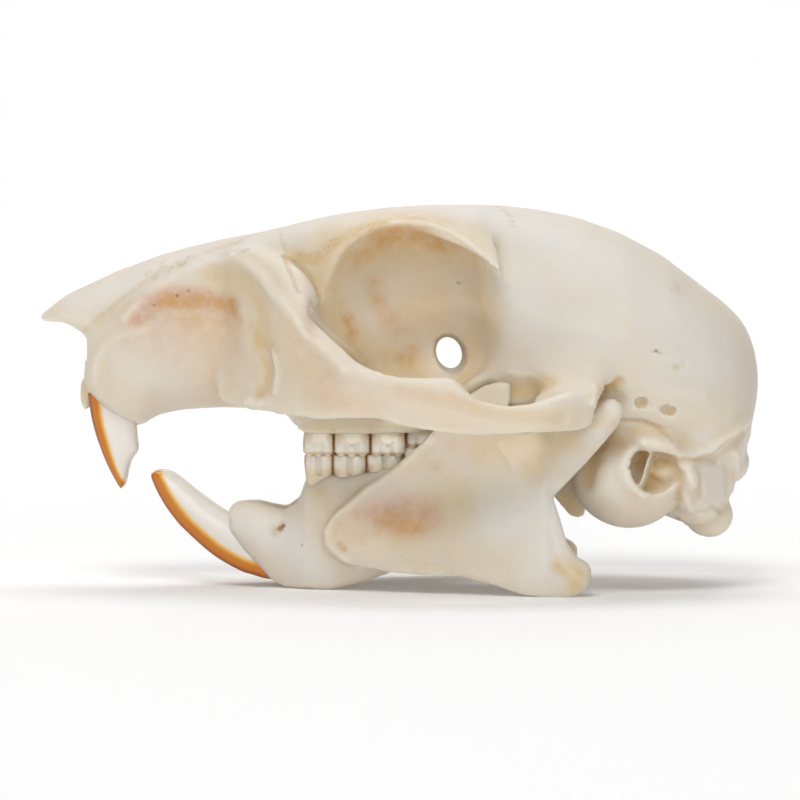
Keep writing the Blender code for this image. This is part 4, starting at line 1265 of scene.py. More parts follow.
    NOSE_CAVITY = (
        (-35.0, 3.2, 23.9, 18.6, 21.0), (-29.5, 3.3, 24.8, 18.8, 21.4), (-26.5, 3.7, 27.0, 19.4, 22.6),
        (-22.0, 3.8, 28.0, 19.8, 23.4), (-18.0, 2.0, 26.5, 21.5, 24.0),
    )
    BRAIN_CAVITY = (
        (8.6, 3.0, 31.5, 24.0, 28.0), (10.5, 7.4, 33.2, 19.0, 27.0), (14.0, 9.9, 33.0, 15.6, 24.5),
        (18.5, 11.2, 31.9, 14.0, 21.5), (23.0, 11.3, 29.6, 12.6, 19.5), (27.0, 10.2, 26.9, 11.5, 18.0),
        (30.0, 7.8, 24.2, 12.4, 17.5), (30.9, 4.8, 21.8, 14.6, 18.0),
    )

    # Rows of ARCH_ROOT are a place, the half-axis along the skull, the rise and the fall
    ARCH_ROOT = (
        ((15.8, -9.5, 20.4), (4.8, 0, 0.4), 3.6, 3.0), ((15.6, -11.6, 19.8), (4.2, 0, 0.4), 2.2, 1.8),
        ((15.2, -13.8, 18.5), (3.4, 0, 0.5), 1.2, 1.2), ((14.4, -16.0, 17.3), (2.8, 0, 0.3), 0.9, 1.6),
    )

    # Rows of BROW_SPINE are a place, the half-axis along the brow and half the thickness
    BROW_SPINE_NORMAL = (0.15, -0.66, 0.74)
    BROW_SPINE = (
        ((3.6, -8.3, 33.0), (4.2, 0.3, -0.3), 0.8), ((5.4, -9.7, 32.15), (3.1, 0.2, -0.4), 0.7),
        ((6.9, -11.0, 31.15), (1.85, 0.2, -0.3), 0.55), ((8.0, -12.1, 30.1), (0.95, 0.1, -0.2), 0.42),
        ((8.7, -12.8, 29.1), (0.42, 0.0, -0.1), 0.32), ((8.95, -13.1, 28.6), (0.2, 0.0, 0.0), 0.2),
    )

    # Rods, whose rows are a place, the half-width across and the other half-width
    TEAR_BONE_NORMAL = (0.4, 1, 0)
    TEAR_BONE = (
        ((-10.2, -9.0, 29.2), 0.5, 0.5), ((-9.3, -9.5, 28.4), 0.7, 0.8), ((-8.4, -9.9, 27.3), 0.7, 0.9),
        ((-7.7, -10.2, 26.3), 0.6, 0.6), ((-7.4, -10.3, 25.9), 0.35, 0.35),
    )
    TEMPLE_CREST = (
        ((5.4, -6.4, 17.8), 0.8, 0.5), ((7.2, -7.5, 19.1), 1.3, 0.7), ((9.2, -8.6, 20.1), 1.5, 0.75),
        ((11.2, -9.3, 20.3), 1.5, 0.8), ((13.4, -10.0, 19.7), 1.2, 0.7), ((15.0, -10.6, 18.9), 0.6, 0.4),
    )
    INCISOR_LIP = (
        ((-28.4, -1.2, 19.8), 1.2, 0.8), ((-28.75, -0.8, 18.4), 0.9, 0.7),
        ((-28.95, -0.6, 17.2), 0.6, 0.6), ((-28.85, -0.55, 16.2), 0.5, 0.4),
    )

    # Lumps
    BULLA = ((20.4, -8.0, 10.3), (5.0, 4.4, 4.45), 12, -12)
    EAR_EAVES = ((22.8, -11.2, 13.6), (2.1, 1.75, 1.0), 8)
    EAR_PILLAR = ((26.0, -10.9, 10.9), (0.8, 0.9, 1.4), -15)
    TEMPLE_BULGE = ((11.4, -9.6, 18.6), (2.8, 1.7, 2.0))
    NECK_KNOB = ((28.0, -4.8, 7.0), (2.4, 2.2, 2.2), 35)
    NECK_FLANK = ((26.7, -7.3, 7.8), (2.2, 1.6, 1.7))
    NAPE_LOW = ((30.9, -4.2, 11.2), (0.9, 1.2, 1.5), 20)
    NAPE_HIGH = ((31.3, -3.4, 14.2), (0.8, 1.4, 1.2), 10)

    # Hollows
    EYE_SOCKET = ((0.6, -15.6, 25.9), (9.2, 11.0, 8.65), 0, 4, 5)
    SOCKET_FLOOR = ((2.6, -10.2, 21.8), (6.7, 6.9, 4.9), -4, 0, 5)
    NOSTRIL = ((-30.2, 0, 20.9), (1.5, 6.0, 2.2))
    PALATE_HOLLOW = ((-3.5, 0, 13.2), (11.5, 4.1, 2.4))
    THROAT_HOLLOW = ((8.5, 0, 13.2), (6.0, 2.5, 2.5), 12)
    JAW_JOINT = ((17.2, -13.1, 16.3), (3.6, 2.2, 2.3), -25)
    BULLA_CAVITY = ((22.5, -11.2, 11.2), (2.4, 1.7, 2.1))
    EAR_OPENING = ((23.0, -12.6, 11.5), (1.9, 2.4, 1.2), 35)
    EAR_OPENING_FRONT = ((21.7, -12.4, 10.9), (0.95, 2.2, 1.6), -12)

    # Thin walls
    BULLA_WALL = ((22.0, -10.9, 11.2), (0.18, 1.5, 2.3), 16, -12)
    BULLA_LUMP = ((23.6, -10.0, 11.2), (1.1, 0.9, 0.9))
    NOSE_WALL = ((-24.5, -1.6, 23.6), (3.4, 0.26, 1.6), 0, 4)
    NOSE_SHELF = ((-24.0, -2.5, 22.0), (3.2, 0.9, 0.26), 6, 0)

    # The opening between the eye sockets: rings are the place across and the half-width
    OPTIC_PLACE = (4.52, 21.47)
    OPTIC_RINGS = ((-5.5, 1.8), (-2.6, 1.2), (2.6, 1.2), (5.5, 1.8))
    OPTIC_LEAN = 0.3
    OPTIC_TILT = 0.1

    # The foramen magnum: rings are the place along its axis and the size
    SPINAL_MIDDLE = (30.6, 0, 9.7)
    SPINAL_OUTWARD = (0.9, 0, -0.43)
    SPINAL_UPWARD = (0.43, 0, 0.9)
    SPINAL_HALF_WIDTH = 3.3
    SPINAL_RISE = 2.8
    SPINAL_FALL = 2.7
    SPINAL_RINGS = ((-6.5, 0.9), (-2.5, 1.0), (0.5, 1.0), (3.4, 1.2))

    STROKES = (
        Stroke(Seen.CHEEK_RIDGE, 1.0, 0.38, Push.RAISE), Stroke(Seen.MUZZLE_CREST, 0.9, 0.2, Push.RAISE),
        Stroke(Seen.MUZZLE_GROOVE, 1.3, 0.24, Push.PRESS), Stroke(Seen.MUZZLE_HOLLOW, 2.4, 0.4, Push.PRESS),
        Stroke(Seen.CHEEK_HOLLOW, 2.4, 0.3, Push.PRESS), Stroke(Seen.CANAL_SLIT, 1.2, 0.26, Push.PRESS),
        Stroke(Seen.CANAL_LIP, 0.6, 0.22, Push.RAISE), Stroke(Seen.CANAL_KNOB, 0.9, 0.35, Push.RAISE),
        Stroke(Seen.SOCKET_EDGE, 0.55, 0.22, Push.RAISE), Stroke(Seen.SNOUT_SWELL, 0.8, 0.15, Push.RAISE),
        Stroke(Seen.LIP_HOLLOW, 1.4, 0.2, Push.PRESS), Stroke(Seen.NOSE_SEAM, 0.4, 0.1, Push.PRESS),
        Stroke(Seen.TEAR_SEAM_BACK, 0.4, 0.2, Push.PRESS),
        Stroke(Seen.TEAR_SEAM_FRONT, 0.35, 0.14, Push.PRESS),
        Stroke(Seen.TEAR_FLAKE, 0.9, 0.16, Push.RAISE), Stroke(Seen.CHEEK_SEAM, 0.35, 0.1, Push.PRESS),
        Stroke(Seen.BROW_SEAM, 0.35, 0.08, Push.PRESS), Stroke(Seen.BROW_EDGE, 0.5, 0.24, Push.RAISE),
        Stroke(Seen.BROW_HOOK_BACK, 1.0, 0.15, Push.PRESS), Stroke(Seen.ARCH_HOLLOW, 1.2, 0.28, Push.PRESS),
        Stroke(Seen.ARCH_EDGE, 0.5, 0.16, Push.RAISE), Stroke(Seen.GUM_HOLLOW, 2.0, 0.25, Push.PRESS),
        Stroke(Seen.EAR_SEAM, 0.45, 0.2, Push.PRESS), Stroke(Seen.NAPE_CREST, 0.8, 0.38, Push.RAISE),
        Stroke(Seen.NAPE_GROOVE, 0.8, 0.3, Push.PRESS), Stroke(Seen.TEMPLE_PIT, 1.9, 0.5, Push.PRESS),
        Stroke(Seen.TEMPLE_RIM, 0.5, 0.16, Push.RAISE), Stroke(Seen.ARCH_END, 0.6, 0.3, Push.RAISE),
        Stroke(Seen.JOINT_HOLLOW, 0.9, 0.45, Push.PRESS), Stroke(Seen.CASE_SWELL, 5.0, 0.25, Push.RAISE),
        Stroke(Seen.CASE_CREST, 1.4, 0.16, Push.RAISE), Stroke(Seen.CASE_SCRATCH, 0.5, 0.16, Push.PRESS),
        Stroke(Seen.CASE_LINE, 1.5, 0.1, Push.RAISE), Stroke(Seen.EAR_PILLAR_GROOVE, 0.8, 0.5, Push.PRESS),
        Stroke(Seen.EAR_PILLAR, 1.0, 0.45, Push.RAISE), Stroke(Seen.EAR_PILLAR_FOOT, 0.5, 0.3, Push.RAISE),
        Stroke(Seen.NECK_GROOVE, 0.7, 0.2, Push.PRESS), Stroke(Seen.NECK_FOLD, 0.8, 0.18, Push.PRESS),
        Stroke(Seen.NECK_RIDGE, 0.8, 0.25, Push.RAISE), Stroke(Seen.KNOB_GROOVE, 0.5, 0.2, Push.PRESS),
        Stroke(Seen.EAR_LIP, 1.0, 0.35, Push.RAISE), Stroke(Seen.BULLA_FRONT, 1.5, 0.4, Push.PRESS),
    )
    TINY_HOLES = (
        (Seen.VESSEL_FRONT, 0.6, 0.5), (Seen.VESSEL_MIDDLE, 0.52, 0.5), (Seen.VESSEL_BACK, 0.5, 0.5),
        (Seen.CASE_PORE, 0.17, 0.2), (Seen.MUZZLE_PORE_MIDDLE, 0.14, 0.12),
        (Seen.MUZZLE_PORE_FRONT, 0.11, 0.1), (Seen.MUZZLE_PORE_BACK, 0.12, 0.1),
        (Seen.SOCKET_PORE, 0.12, 0.2), (Seen.EAR_PILLAR_HOLE, 0.3, 0.4),
    )
    CREASES = (Seen.SOCKET_STEP, Seen.SOCKET_BACK, Seen.SOCKET_FRONT, Seen.ROOT_TOP, Seen.ROOT_FRONT,
               Seen.ROOT_MIDDLE)
    BLOTS = {
        "pink": (
            Blot(Seen.MUZZLE_BAND, 1.9), Blot(Seen.MUZZLE_BLUSH, 3.0, 0.45), Blot(Seen.NOSE_SPOT, 0.45, 0.8),
            Blot(Seen.MUZZLE_FLANK, 4.5, 0.3), Blot(Seen.CHEEK_BLUSH, 3.0, 0.22),
            Blot(Seen.SOCKET_BLUSH, 2.0, 0.5),
        ),
        "orange": (
            Blot(Seen.MUZZLE_BAND_CORE, 1.5, 0.95), Blot(Seen.MUZZLE_BAND_FOOT, 1.4, 0.45),
            Blot(Seen.CHEEK_STREAK, 0.8, 0.3), Blot(Seen.CANAL_SPOT, 0.9, 0.3),
            # The eye socket's roof blot is partly its own orange and partly painted shade under the roof.
            Blot(Seen.CANAL_STAIN, 0.8, 0.4), Blot(Seen.SOCKET_ROOF, 3.0, 0.85),
            Blot(Seen.SOCKET_ROOF_FRONT, 2.0, 0.4), Blot(Seen.SOCKET_SPOT_FRONT, 1.1, 0.9),
            Blot(Seen.SOCKET_SPOT_FOOT, 1.2, 0.8), Blot(Seen.SOCKET_SPOT_TOP, 1.5, 0.5),
            # The optic hole's orange blot is painted shadow in its recess.
            Blot(Seen.OPTIC_EDGE, 0.9, 0.5), Blot(Seen.SNOUT_EDGE, 0.6, 0.35),
            # The jaw joint's two orange blots here are a painted crescent shadow; the bulla's is painted
            # shade in the hollow before it.
            Blot(Seen.CHEEK_SPOT, 1.3, 0.22), Blot(Seen.JOINT_EDGE, 0.7, 0.45),
            Blot(Seen.JOINT_SPOT, 0.7, 0.3), Blot(Seen.BULLA_SPOT, 1.8, 0.25),
            # The ear opening's orange blots are partly painted shade deep inside it.
            Blot(Seen.EAR_FRONT, 0.8, 0.75), Blot(Seen.EAR_BACK, 0.9, 0.6),
            Blot(Seen.EAR_FLOOR, 0.5, 0.6), Blot(Seen.EAR_CORE, 1.6, 0.3), Blot(Seen.WING_SPOT, 0.9, 0.5),
        ),
        # Tan blots: partly the bone's own tan, partly painted shade in hollows, in holes and on lower faces.
        "tan": (
            Blot(Seen.MUZZLE_WARMTH, 2.6, 0.45), Blot(Seen.CHEEK_WARMTH, 2.4, 0.7),
            Blot(Seen.CHEEK_FOOT, 3.0, 0.42), Blot(Seen.CANAL_WARMTH, 1.6, 0.6),
            # The eye socket's tan blots are partly the bone's own tan and partly painted shade in its bowl.
            Blot(Seen.SOCKET_TOP, 4.8, 0.8), Blot(Seen.SOCKET_FOOT, 3.6, 0.9),
            Blot(Seen.SOCKET_MIDDLE, 4.8, 0.6), Blot(Seen.SOCKET_BACK_FOOT, 2.0, 0.6),
            # The optic hole's tan blot is painted shadow in its recess.
            Blot(Seen.SOCKET_BACK_TOP, 3.2, 0.55), Blot(Seen.BROW_FRINGE, 1.2), Blot(Seen.OPTIC_HOLE, 2.4),
            Blot(Seen.SNOUT_FOOT, 0.9, 0.7), Blot(Seen.MUZZLE_FOOT, 1.0, 0.35),
            # The temple pit's tan blot is painted shade in the pit behind the arch.
            Blot(Seen.TEMPLE_PIT_STAIN, 1.9, 0.9), Blot(Seen.ARCH_WARMTH, 2.0, 0.35),
            # The jaw joint's tan blot is a painted crescent shadow; the bulla's is painted shade in the
            # hollow before it, partly its own tan.
            Blot(Seen.JOINT_HOLLOW, 1.1), Blot(Seen.BULLA_WARMTH, 2.4), Blot(Seen.EAR_ROOF, 1.4, 0.4),
            # Painted shade inside the ear opening and round the vessel holes, on this line and the next.
            Blot(Seen.EAR_INSIDE, 1.9), Blot((Seen.VESSEL_FRONT,), 0.8, 0.9),
            Blot((Seen.VESSEL_STAIN,), 0.9, 0.9), Blot(Seen.WING_WARMTH, 1.8, 0.8),
            Blot(Seen.GUM_LINE, 0.9, 0.7), Blot(Seen.KNOB_WARMTH, 1.6, 0.3), Blot(Seen.BULLA_FOOT, 2.2, 0.3),
        ),
        "seam": (
            Blot(Seen.OPTIC_MARK, 0.5, 0.5), Blot(Seen.BROW_FRINGE, 1.0, 0.3),
            Blot(Seen.NOSE_TIP_SEAM, 0.5, 0.6), Blot(Seen.TEAR_SEAM_BACK, 0.35, 0.75),
            Blot(Seen.TEAR_SEAM_FRONT, 0.3, 0.5), Blot(Seen.CHEEK_SEAM_STAIN, 0.3, 0.4),
            Blot(Seen.NOSE_SEAM, 0.4, 0.3), Blot(Seen.BROW_SEAM, 0.35, 0.25), Blot(Seen.LIP_SEAM, 0.35, 0.8),
            Blot(Seen.EAR_SEAM, 0.5, 0.6), Blot(Seen.NAPE_SEAM, 0.5, 0.5), Blot(Seen.CASE_SPOT, 0.5, 0.4),
            Blot(Seen.EAR_PILLAR_STAIN, 0.6, 0.7), Blot(Seen.NECK_GROOVE, 0.4, 0.4),
            *(Blot((gap,), 0.4, 0.7) for gap in Seen.TOOTH_GAPS),
        ),
        # Painted shade darkening the tiny holes.
        "umber": (
            Blot((Seen.MUZZLE_PORE_MIDDLE,), 0.24, 0.6), Blot((Seen.MUZZLE_PORE_FRONT,), 0.2, 0.5),
            Blot((Seen.MUZZLE_PORE_BACK,), 0.22, 0.5), Blot((Seen.SOCKET_PORE,), 0.2, 0.6),
            Blot(Seen.CASE_PORE_STAIN, 0.3, 0.5), Blot((Seen.EAR_PILLAR_HOLE,), 0.3, 0.5),
        ),
        "pore": (Blot(Seen.BROW_PORES, 1.0),),
        "chalk": (
            Blot(Seen.CASE_TOP, 7.5, 0.9), Blot(Seen.NOSE_TOP, 2.6, 0.7), Blot(Seen.CASE_FRONT, 5.0, 0.8),
            Blot(Seen.MUZZLE_PALE, 2.8, 0.45), Blot(Seen.BULLA_PALE, 2.2, 0.5),
            Blot(Seen.NECK_PALE, 2.0, 0.5), Blot(Seen.ARCH_PALE, 1.4, 0.6),
        ),
    }

    # Sutures on top: their corners, seen from above in millimetres, and their strength
    TOP_SEAMS = (
        (((-32.0, 0.0), (-11.6, 0.0)), 0.55), (((-11.6, 0.0), (8.4, 0.0)), 0.4),
        (((-11.2, -3.1), (-11.8, -1.2), (-11.4, 0.0), (-11.8, 1.2), (-11.2, 3.1)), 0.6),
        (((-11.2, -3.1), (-16.0, -3.3), (-23.0, -3.7)), 0.45),
        (((-11.2, 3.1), (-16.0, 3.3), (-23.0, 3.7)), 0.45),
        (((10.2, -7.4), (9.4, -4.0), (8.2, -1.0), (8.4, 0.0), (8.2, 1.0), (9.4, 4.0), (10.2, 7.4)), 0.45),
        (((24.6, -8.6), (25.8, -5.0), (26.4, 0.0), (25.8, 5.0), (24.6, 8.6)), 0.35),
    )
    SEAM_WAVES = ((0.16, 5.0), (0.08, 13.0))

    def near_parts(self) -> list[bmesh.types.BMesh]:
        """The parts that are added, as pairs, once the eye sockets are hollowed."""
        normal = Vector(self.BROW_SPINE_NORMAL)
        arch_root = [Section(Vector(place), Vector(along), Vector((0, 0, rise)), Vector((0, 0, -fall)))
                     for place, along, rise, fall in self.ARCH_ROOT]
        brow_spine = [Section(Vector(place), Vector(along), normal * thick, -normal * thick)
                      for place, along, thick in self.BROW_SPINE]
        lumps = (self.EAR_PILLAR, self.TEMPLE_BULGE, self.NECK_KNOB, self.NECK_FLANK, self.NAPE_LOW,
                 self.NAPE_HIGH)
        return [
            Shape.straps(self.CHEEK_ARCH),
            Shape.loft(arch_root),
            Shape.loft(brow_spine),
            Shape.tube(self.TEAR_BONE, self.TEAR_BONE_NORMAL),
            Shape.tube(self.TEMPLE_CREST),
            Shape.tube(self.INCISOR_LIP),
            Shape.egg(*self.BULLA),
            Shape.egg(*self.EAR_EAVES),
            Shape.uprights(self.EAR_BLOCK),
            *(Shape.egg(*lump) for lump in lumps),
            Shape.straps(self.PALATE_WING),
            Shape.straps(self.GUM_RIDGE),
        ]

    def middle_hollows(self) -> list[bmesh.types.BMesh]:
        """The hollows that cross the middle plane."""
        x, z = self.OPTIC_PLACE
        lean = self.OPTIC_LEAN
        optic = [Section(Vector((x, y, z)), Vector((wide, 0, self.OPTIC_TILT)),
                         Vector((-lean, 0, wide + lean)), Vector((lean, 0, -wide - lean)))
                 for y, wide in self.OPTIC_RINGS]
        middle, outward = Vector(self.SPINAL_MIDDLE), Vector(self.SPINAL_OUTWARD)
        upward = Vector(self.SPINAL_UPWARD)
        spinal = [Section(middle + outward * along, Vector((0, self.SPINAL_HALF_WIDTH * size, 0)),
                          upward * self.SPINAL_RISE * size, -upward * self.SPINAL_FALL * size)
                  for along, size in self.SPINAL_RINGS]
        return [
            Shape.loft(optic),
            Shape.uprights(self.NOSE_CAVITY),
            Shape.uprights(self.BRAIN_CAVITY, 32),
            Shape.loft(spinal),
            Shape.egg(*self.PALATE_HOLLOW),
            Shape.egg(*self.THROAT_HOLLOW),
        ]

    def side_hollows(self) -> list[bmesh.types.BMesh]:
        """The jaw joint, the inside of the ear bulla and its opening."""
        return [Shape.egg(*hollow) for hollow in (self.JAW_JOINT, self.BULLA_CAVITY, self.EAR_OPENING,
                                                  self.EAR_OPENING_FRONT)]

    def inner_walls(self) -> list[bmesh.types.BMesh]:
        """The thin walls inside the bulla and the nose."""
        return [Shape.egg(*wall) for wall in (self.BULLA_WALL, self.BULLA_LUMP, self.NOSE_WALL,
                                              self.NOSE_SHELF)]

    def shape(self) -> Blank:
        """Builds the mesh in three rounds of melting and hollowing."""
        blank = Blank("cranium_bone", [
            Shape.uprights(rows, 32)
            for rows in (self.BRAINCASE, self.ROSTRUM, self.NASALS, self.TOOTH_BLOCK, self.BASE_KEEL)
        ] + Shape.pair([Shape.uprights(self.SOCKET_FRONT)]))
        blank.fuse(self.rough_voxel, self.rough_smoothing)
        blank.cut(Shape.pair([Shape.egg(*self.EYE_SOCKET), Shape.egg(*self.SOCKET_FLOOR)])
                  + [Shape.egg(*self.NOSTRIL)])
        blank.add(Shape.pair(self.near_parts()))
        blank.fuse(self.middle_voxel, self.rough_smoothing)
        blank.relax(self.CREASES, self.crease_radius, self.crease_rounds)
        blank.cut(self.middle_hollows() + Shape.pair(self.side_hollows()))
        blank.add(Shape.pair(self.inner_walls()))
        blank.fuse(self.fine_voxel, self.fine_smoothing)
        blank.carve(self.STROKES, tuple(Side))
        blank.pierce(self.TINY_HOLES, tuple(Side))
        blank.drop_crumbs()
        blank.thin_out(self.triangles)
        return blank

    def paint(self, blank: Blank) -> None:
        """Paints shade into the hollows, highlights onto the rims, the stains and the sutures on top."""
        paint = Paint(blank, self.finish.layers)
        # Painted shade in the hollows and painted highlights on the sharp rims.
        paint.shade_bone(self.hollow_tan, self.most_tan)
        paint.blot(self.BLOTS, tuple(Side))
        flat = paint.places[:, :2]
        jagged = flat
        for swing, pace in self.SEAM_WAVES:
            jagged = jagged + swing * np.sin(flat[:, ::-1] * pace)
        above = np.clip(paint.normals[:, 2] * 3.0 - 0.6, 0.0, 1.0)
        for path, strength in self.TOP_SEAMS:
            paint.lay("seam", strength * above * fade_out(distance_to_path(jagged, path), self.seam_width))
        paint.keep()

    def build(self, material: bpy.types.Material) -> Piece:
        """Shapes, paints and dresses the cranium.

        Args:
            material: The bone's finish.

        Returns:
            The finished piece.
        """
        blank = self.shape()
        self.paint(blank)
        return Piece(blank, ["cranium"], "bone", material)


@dataclass
class Mandible:
    """The two lower jaw bones.

    BODY_BAR is in the arguments of Section.upright, CONDYLE in those of Shape.tube and the others in
    those of Section.strap.
    """

    voxel: float = 0.2
    smoothing: int = 8
    triangles: int = 120000
    # How strongly tan painted shade fills the hollows, and its most.
    hollow_tan: float = 2.0
    most_tan: float = 0.6
    finish: BoneFinish = field(default_factory=BoneFinish)

    BODY_BAR = (
        (-15.7, 1.15, 7.3, 5.2, 6.3, 2.0, 2.0, -1.65), (-15.0, 1.4, 7.7, 4.1, 6.0, 2.0, 2.0, -1.75),
        (-14.2, 1.6, 7.8, 3.1, 5.6, 2.0, 2.0, -1.95), (-13.0, 1.85, 7.8, 1.8, 4.8, 2.0, 2.0, -2.25),
        (-11.9, 1.9, 7.5, 0.7, 4.5, 2.0, 2.0, -2.5), (-10.5, 2.1, 7.2, 0.05, 4.2, 2.0, 2.0, -2.9),
        (-9.3, 2.3, 8.0, -0.1, 4.2, 2.3, 2.0, -3.5), (-8.5, 2.4, 10.3, -0.15, 4.4, 3.0, 2.0, -4.0),
        (-6.2, 2.5, 10.7, -0.05, 5.0, 3.2, 2.0, -4.7), (-3.2, 2.4, 10.8, 0.7, 6.0, 3.2, 2.0, -5.1),
        (0.0, 2.2, 11.4, 1.9, 7.2, 3.2, 1.9, -5.6), (3.2, 1.8, 12.4, 3.2, 8.6, 3.0, 1.8, -6.2),
        (5.0, 1.2, 12.3, 5.5, 9.4, 2.4, 1.8, -7.4),
    )
    RAMUS = (
        (-6.9, -7.0, 5.6, 3.8, 1.2), (-5.4, -7.5, 7.6, 2.9, 1.7), (-3.0, -8.0, 9.8, 2.2, 1.8),
        (-0.6, -8.4, 11.4, 1.9, 1.7), (2.0, -9.1, 13.6, 1.7, 1.5), (4.5, -10.1, 16.4, 1.75, 1.35),
        (6.1, -10.8, 17.6, 1.5, 1.25), (7.8, -11.4, 16.6, 1.1, 1.25), (9.6, -11.9, 15.2, 0.7, 1.25),
        (11.4, -12.2, 14.6, 0.2, 1.25), (12.9, -12.5, 14.4, -0.1, 1.3),
    )
    CORONOID = (
        (4.6, -9.9, 16.2, 13.5, 1.0), (6.0, -10.8, 17.9, 14.0, 1.0), (7.4, -11.4, 18.8, 14.5, 1.0),
        (8.4, -11.8, 19.1, 15.0, 1.0), (9.1, -12.0, 19.2, 15.4, 0.9), (9.8, -12.1, 19.0, 17.2, 0.6),
    )
    CONDYLE = (
        ((10.4, -12.2, 10.6), 0.65, 3.6), ((13.0, -12.5, 12.2), 0.65, 2.9), ((15.4, -12.8, 13.7), 0.7, 2.1),
        ((17.1, -13.0, 15.0), 1.0, 1.6), ((18.2, -13.1, 16.1), 1.2, 1.4), ((18.9, -13.1, 16.9), 1.05, 1.1),
        ((19.3, -13.1, 17.4), 0.6, 0.6),
    )
    ANGLE = (
        (4.5, -9.8, 3.6, 1.8, 1.5), (8.0, -11.1, 3.2, 1.1, 1.8), (11.0, -11.8, 4.6, 0.1, 1.9),
        (13.2, -12.2, 10.0, -0.15, 1.6), (14.1, -12.2, 7.4, -0.15, 1.9), (14.8, -12.1, 5.0, -0.1, 2.4),
        (15.7, -12.0, 3.6, 0.1, 2.6), (16.6, -12.0, 3.1, 0.8, 2.2), (17.0, -12.0, 2.6, 1.6, 1.2),
    )
    STROKES = (
        Stroke(Seen.JAW_HOLLOW, 4.6, 0.6, Push.PRESS), Stroke(Seen.JAW_CREST, 0.8, 0.42, Push.RAISE),
        Stroke(Seen.JAW_CREST_FOOT, 0.8, 0.2, Push.RAISE),
        Stroke(Seen.JAW_CREST_HOLLOW, 1.6, 0.3, Push.PRESS),
        Stroke(Seen.RAMUS_EDGE, 0.9, 0.16, Push.RAISE), Stroke(Seen.ANGLE_CREST, 0.9, 0.2, Push.RAISE),
        Stroke(Seen.RAMUS_BACK, 0.6, 0.18, Push.RAISE), Stroke(Seen.JAW_GUM, 0.9, 0.14, Push.RAISE),
        Stroke(Seen.CHIN_SWELL, 1.3, 0.12, Push.RAISE), Stroke(Seen.JAW_NECK_HOLLOW, 2.2, 0.3, Push.PRESS),
        Stroke(Seen.JAW_NECK_CREST, 1.8, 0.14, Push.RAISE),
    )
    TINY_HOLES = ((Seen.CHIN_HOLE_FRONT, 0.26, 0.3), (Seen.CHIN_HOLE_BACK, 0.22, 0.3),
                  (Seen.CHIN_PORE, 0.1, 0.25))
    BLOTS = {
        "pink": (
            Blot(Seen.JAW_STAIN_FRONT, 1.4, 0.8), Blot(Seen.JAW_STAIN, 2.8, 0.8),
            Blot(Seen.JAW_STAIN_FOOT, 1.6, 0.5), Blot(Seen.CHIN_FOOT, 0.9, 0.75),
            Blot(Seen.JAW_CREST_BLUSH, 1.6, 0.25),
        ),
        "orange": (
            Blot(Seen.JAW_STAIN_CORE, 1.8, 0.7), Blot(Seen.RAMUS_SPOT_LOW, 1.2, 0.32),
            Blot(Seen.RAMUS_SPOT_HIGH, 1.0, 0.25),
        ),
        # Tan blots: partly the bone's own tan, partly painted shade in hollows and on lower faces.
        "tan": (
            Blot(Seen.JAW_WARMTH, 3.4, 0.45), Blot(Seen.RAMUS_WARMTH, 3.0, 0.6),
            # The jaw head's tan blot is painted shadow in the jaw joint, below the head.
            Blot(Seen.ANGLE_STAIN, 1.4, 0.95), Blot(Seen.JAW_HEAD, 1.0, 0.5),
            # The jaw neck's tan blot is painted shade in the hollow beside its ridge.
            Blot(Seen.JAW_NECK_STAIN, 2.2, 0.6), Blot(Seen.JAW_GUM_LINE, 0.9, 0.6),
            Blot(Seen.JAW_FOOT, 1.0, 0.5), Blot(Seen.JAW_GUM_FRONT, 1.4, 0.5),
        ),
        # Painted shade darkening the chin's holes.
        "umber": (Blot(Seen.CHIN_HOLE_STAIN, 0.5, 0.75), Blot((Seen.CHIN_PORE,), 0.2, 0.5)),
        "seam": (
            Blot(Seen.CHIN_HOLE_EDGE, 0.9, 0.55), Blot(Seen.JAW_CREST_MARK, 0.6, 0.8),
            Blot(Seen.CHIN_SEAM, 0.4, 0.5),
        ),
        "pore": (Blot(Seen.JAW_CREST_PORES, 0.7),),
        "chalk": (
            Blot(Seen.CHIN_PALE, 3.4), Blot(Seen.JAW_PALE, 4.6), Blot(Seen.JAW_NECK_PALE, 1.6, 0.8),
        ),
    }

    def shape(self) -> Blank:
        """Builds the left bone."""
        blank = Blank("mandible_bone_left", [
            Shape.uprights(self.BODY_BAR), Shape.straps(self.RAMUS), Shape.straps(self.CORONOID),
            Shape.tube(self.CONDYLE), Shape.straps(self.ANGLE),
        ])
        blank.fuse(self.voxel, self.smoothing)
        blank.carve(self.STROKES, (Side.LEFT,))
        blank.pierce(self.TINY_HOLES, (Side.LEFT,))
        blank.drop_crumbs()
        blank.thin_out(self.triangles)
        return blank

    def paint(self, blank: Blank) -> None:
        """Paints shade into the hollows, highlights onto the rims, and the stains."""
        paint = Paint(blank, self.finish.layers)
        # Painted shade in the hollows and painted highlights on the sharp rims.
        paint.shade_bone(self.hollow_tan, self.most_tan)
        paint.blot(self.BLOTS, (Side.LEFT,))
        paint.keep()

    def build(self, material: bpy.types.Material) -> list[Piece]:
        """Shapes, paints and dresses both bones.

        Args:
            material: The bone's finish.

        Returns:
            The finished pieces.
        """
        blank = self.shape()
        self.paint(blank)
        right = Piece.mirrored(blank, "mandible_bone_right")
        return [Piece(blank, ["mandible_left"], "bone", material),
                Piece(right, ["mandible_right"], "bone", material)]


@dataclass(frozen=True)
class ToothRow:
    """The places of the four cheek teeth of one jaw, on one side, in millimetres."""

    level: str
    ends: tuple[tuple[float, float], ...]
    across: tuple[float, ...]
    gum: tuple[float, ...]
    bite: tuple[float, ...]
    root: tuple[float, ...]
    half_width: float
    lobe_depth: float
    outer_cusps: tuple[float, ...]
    groove_start: float


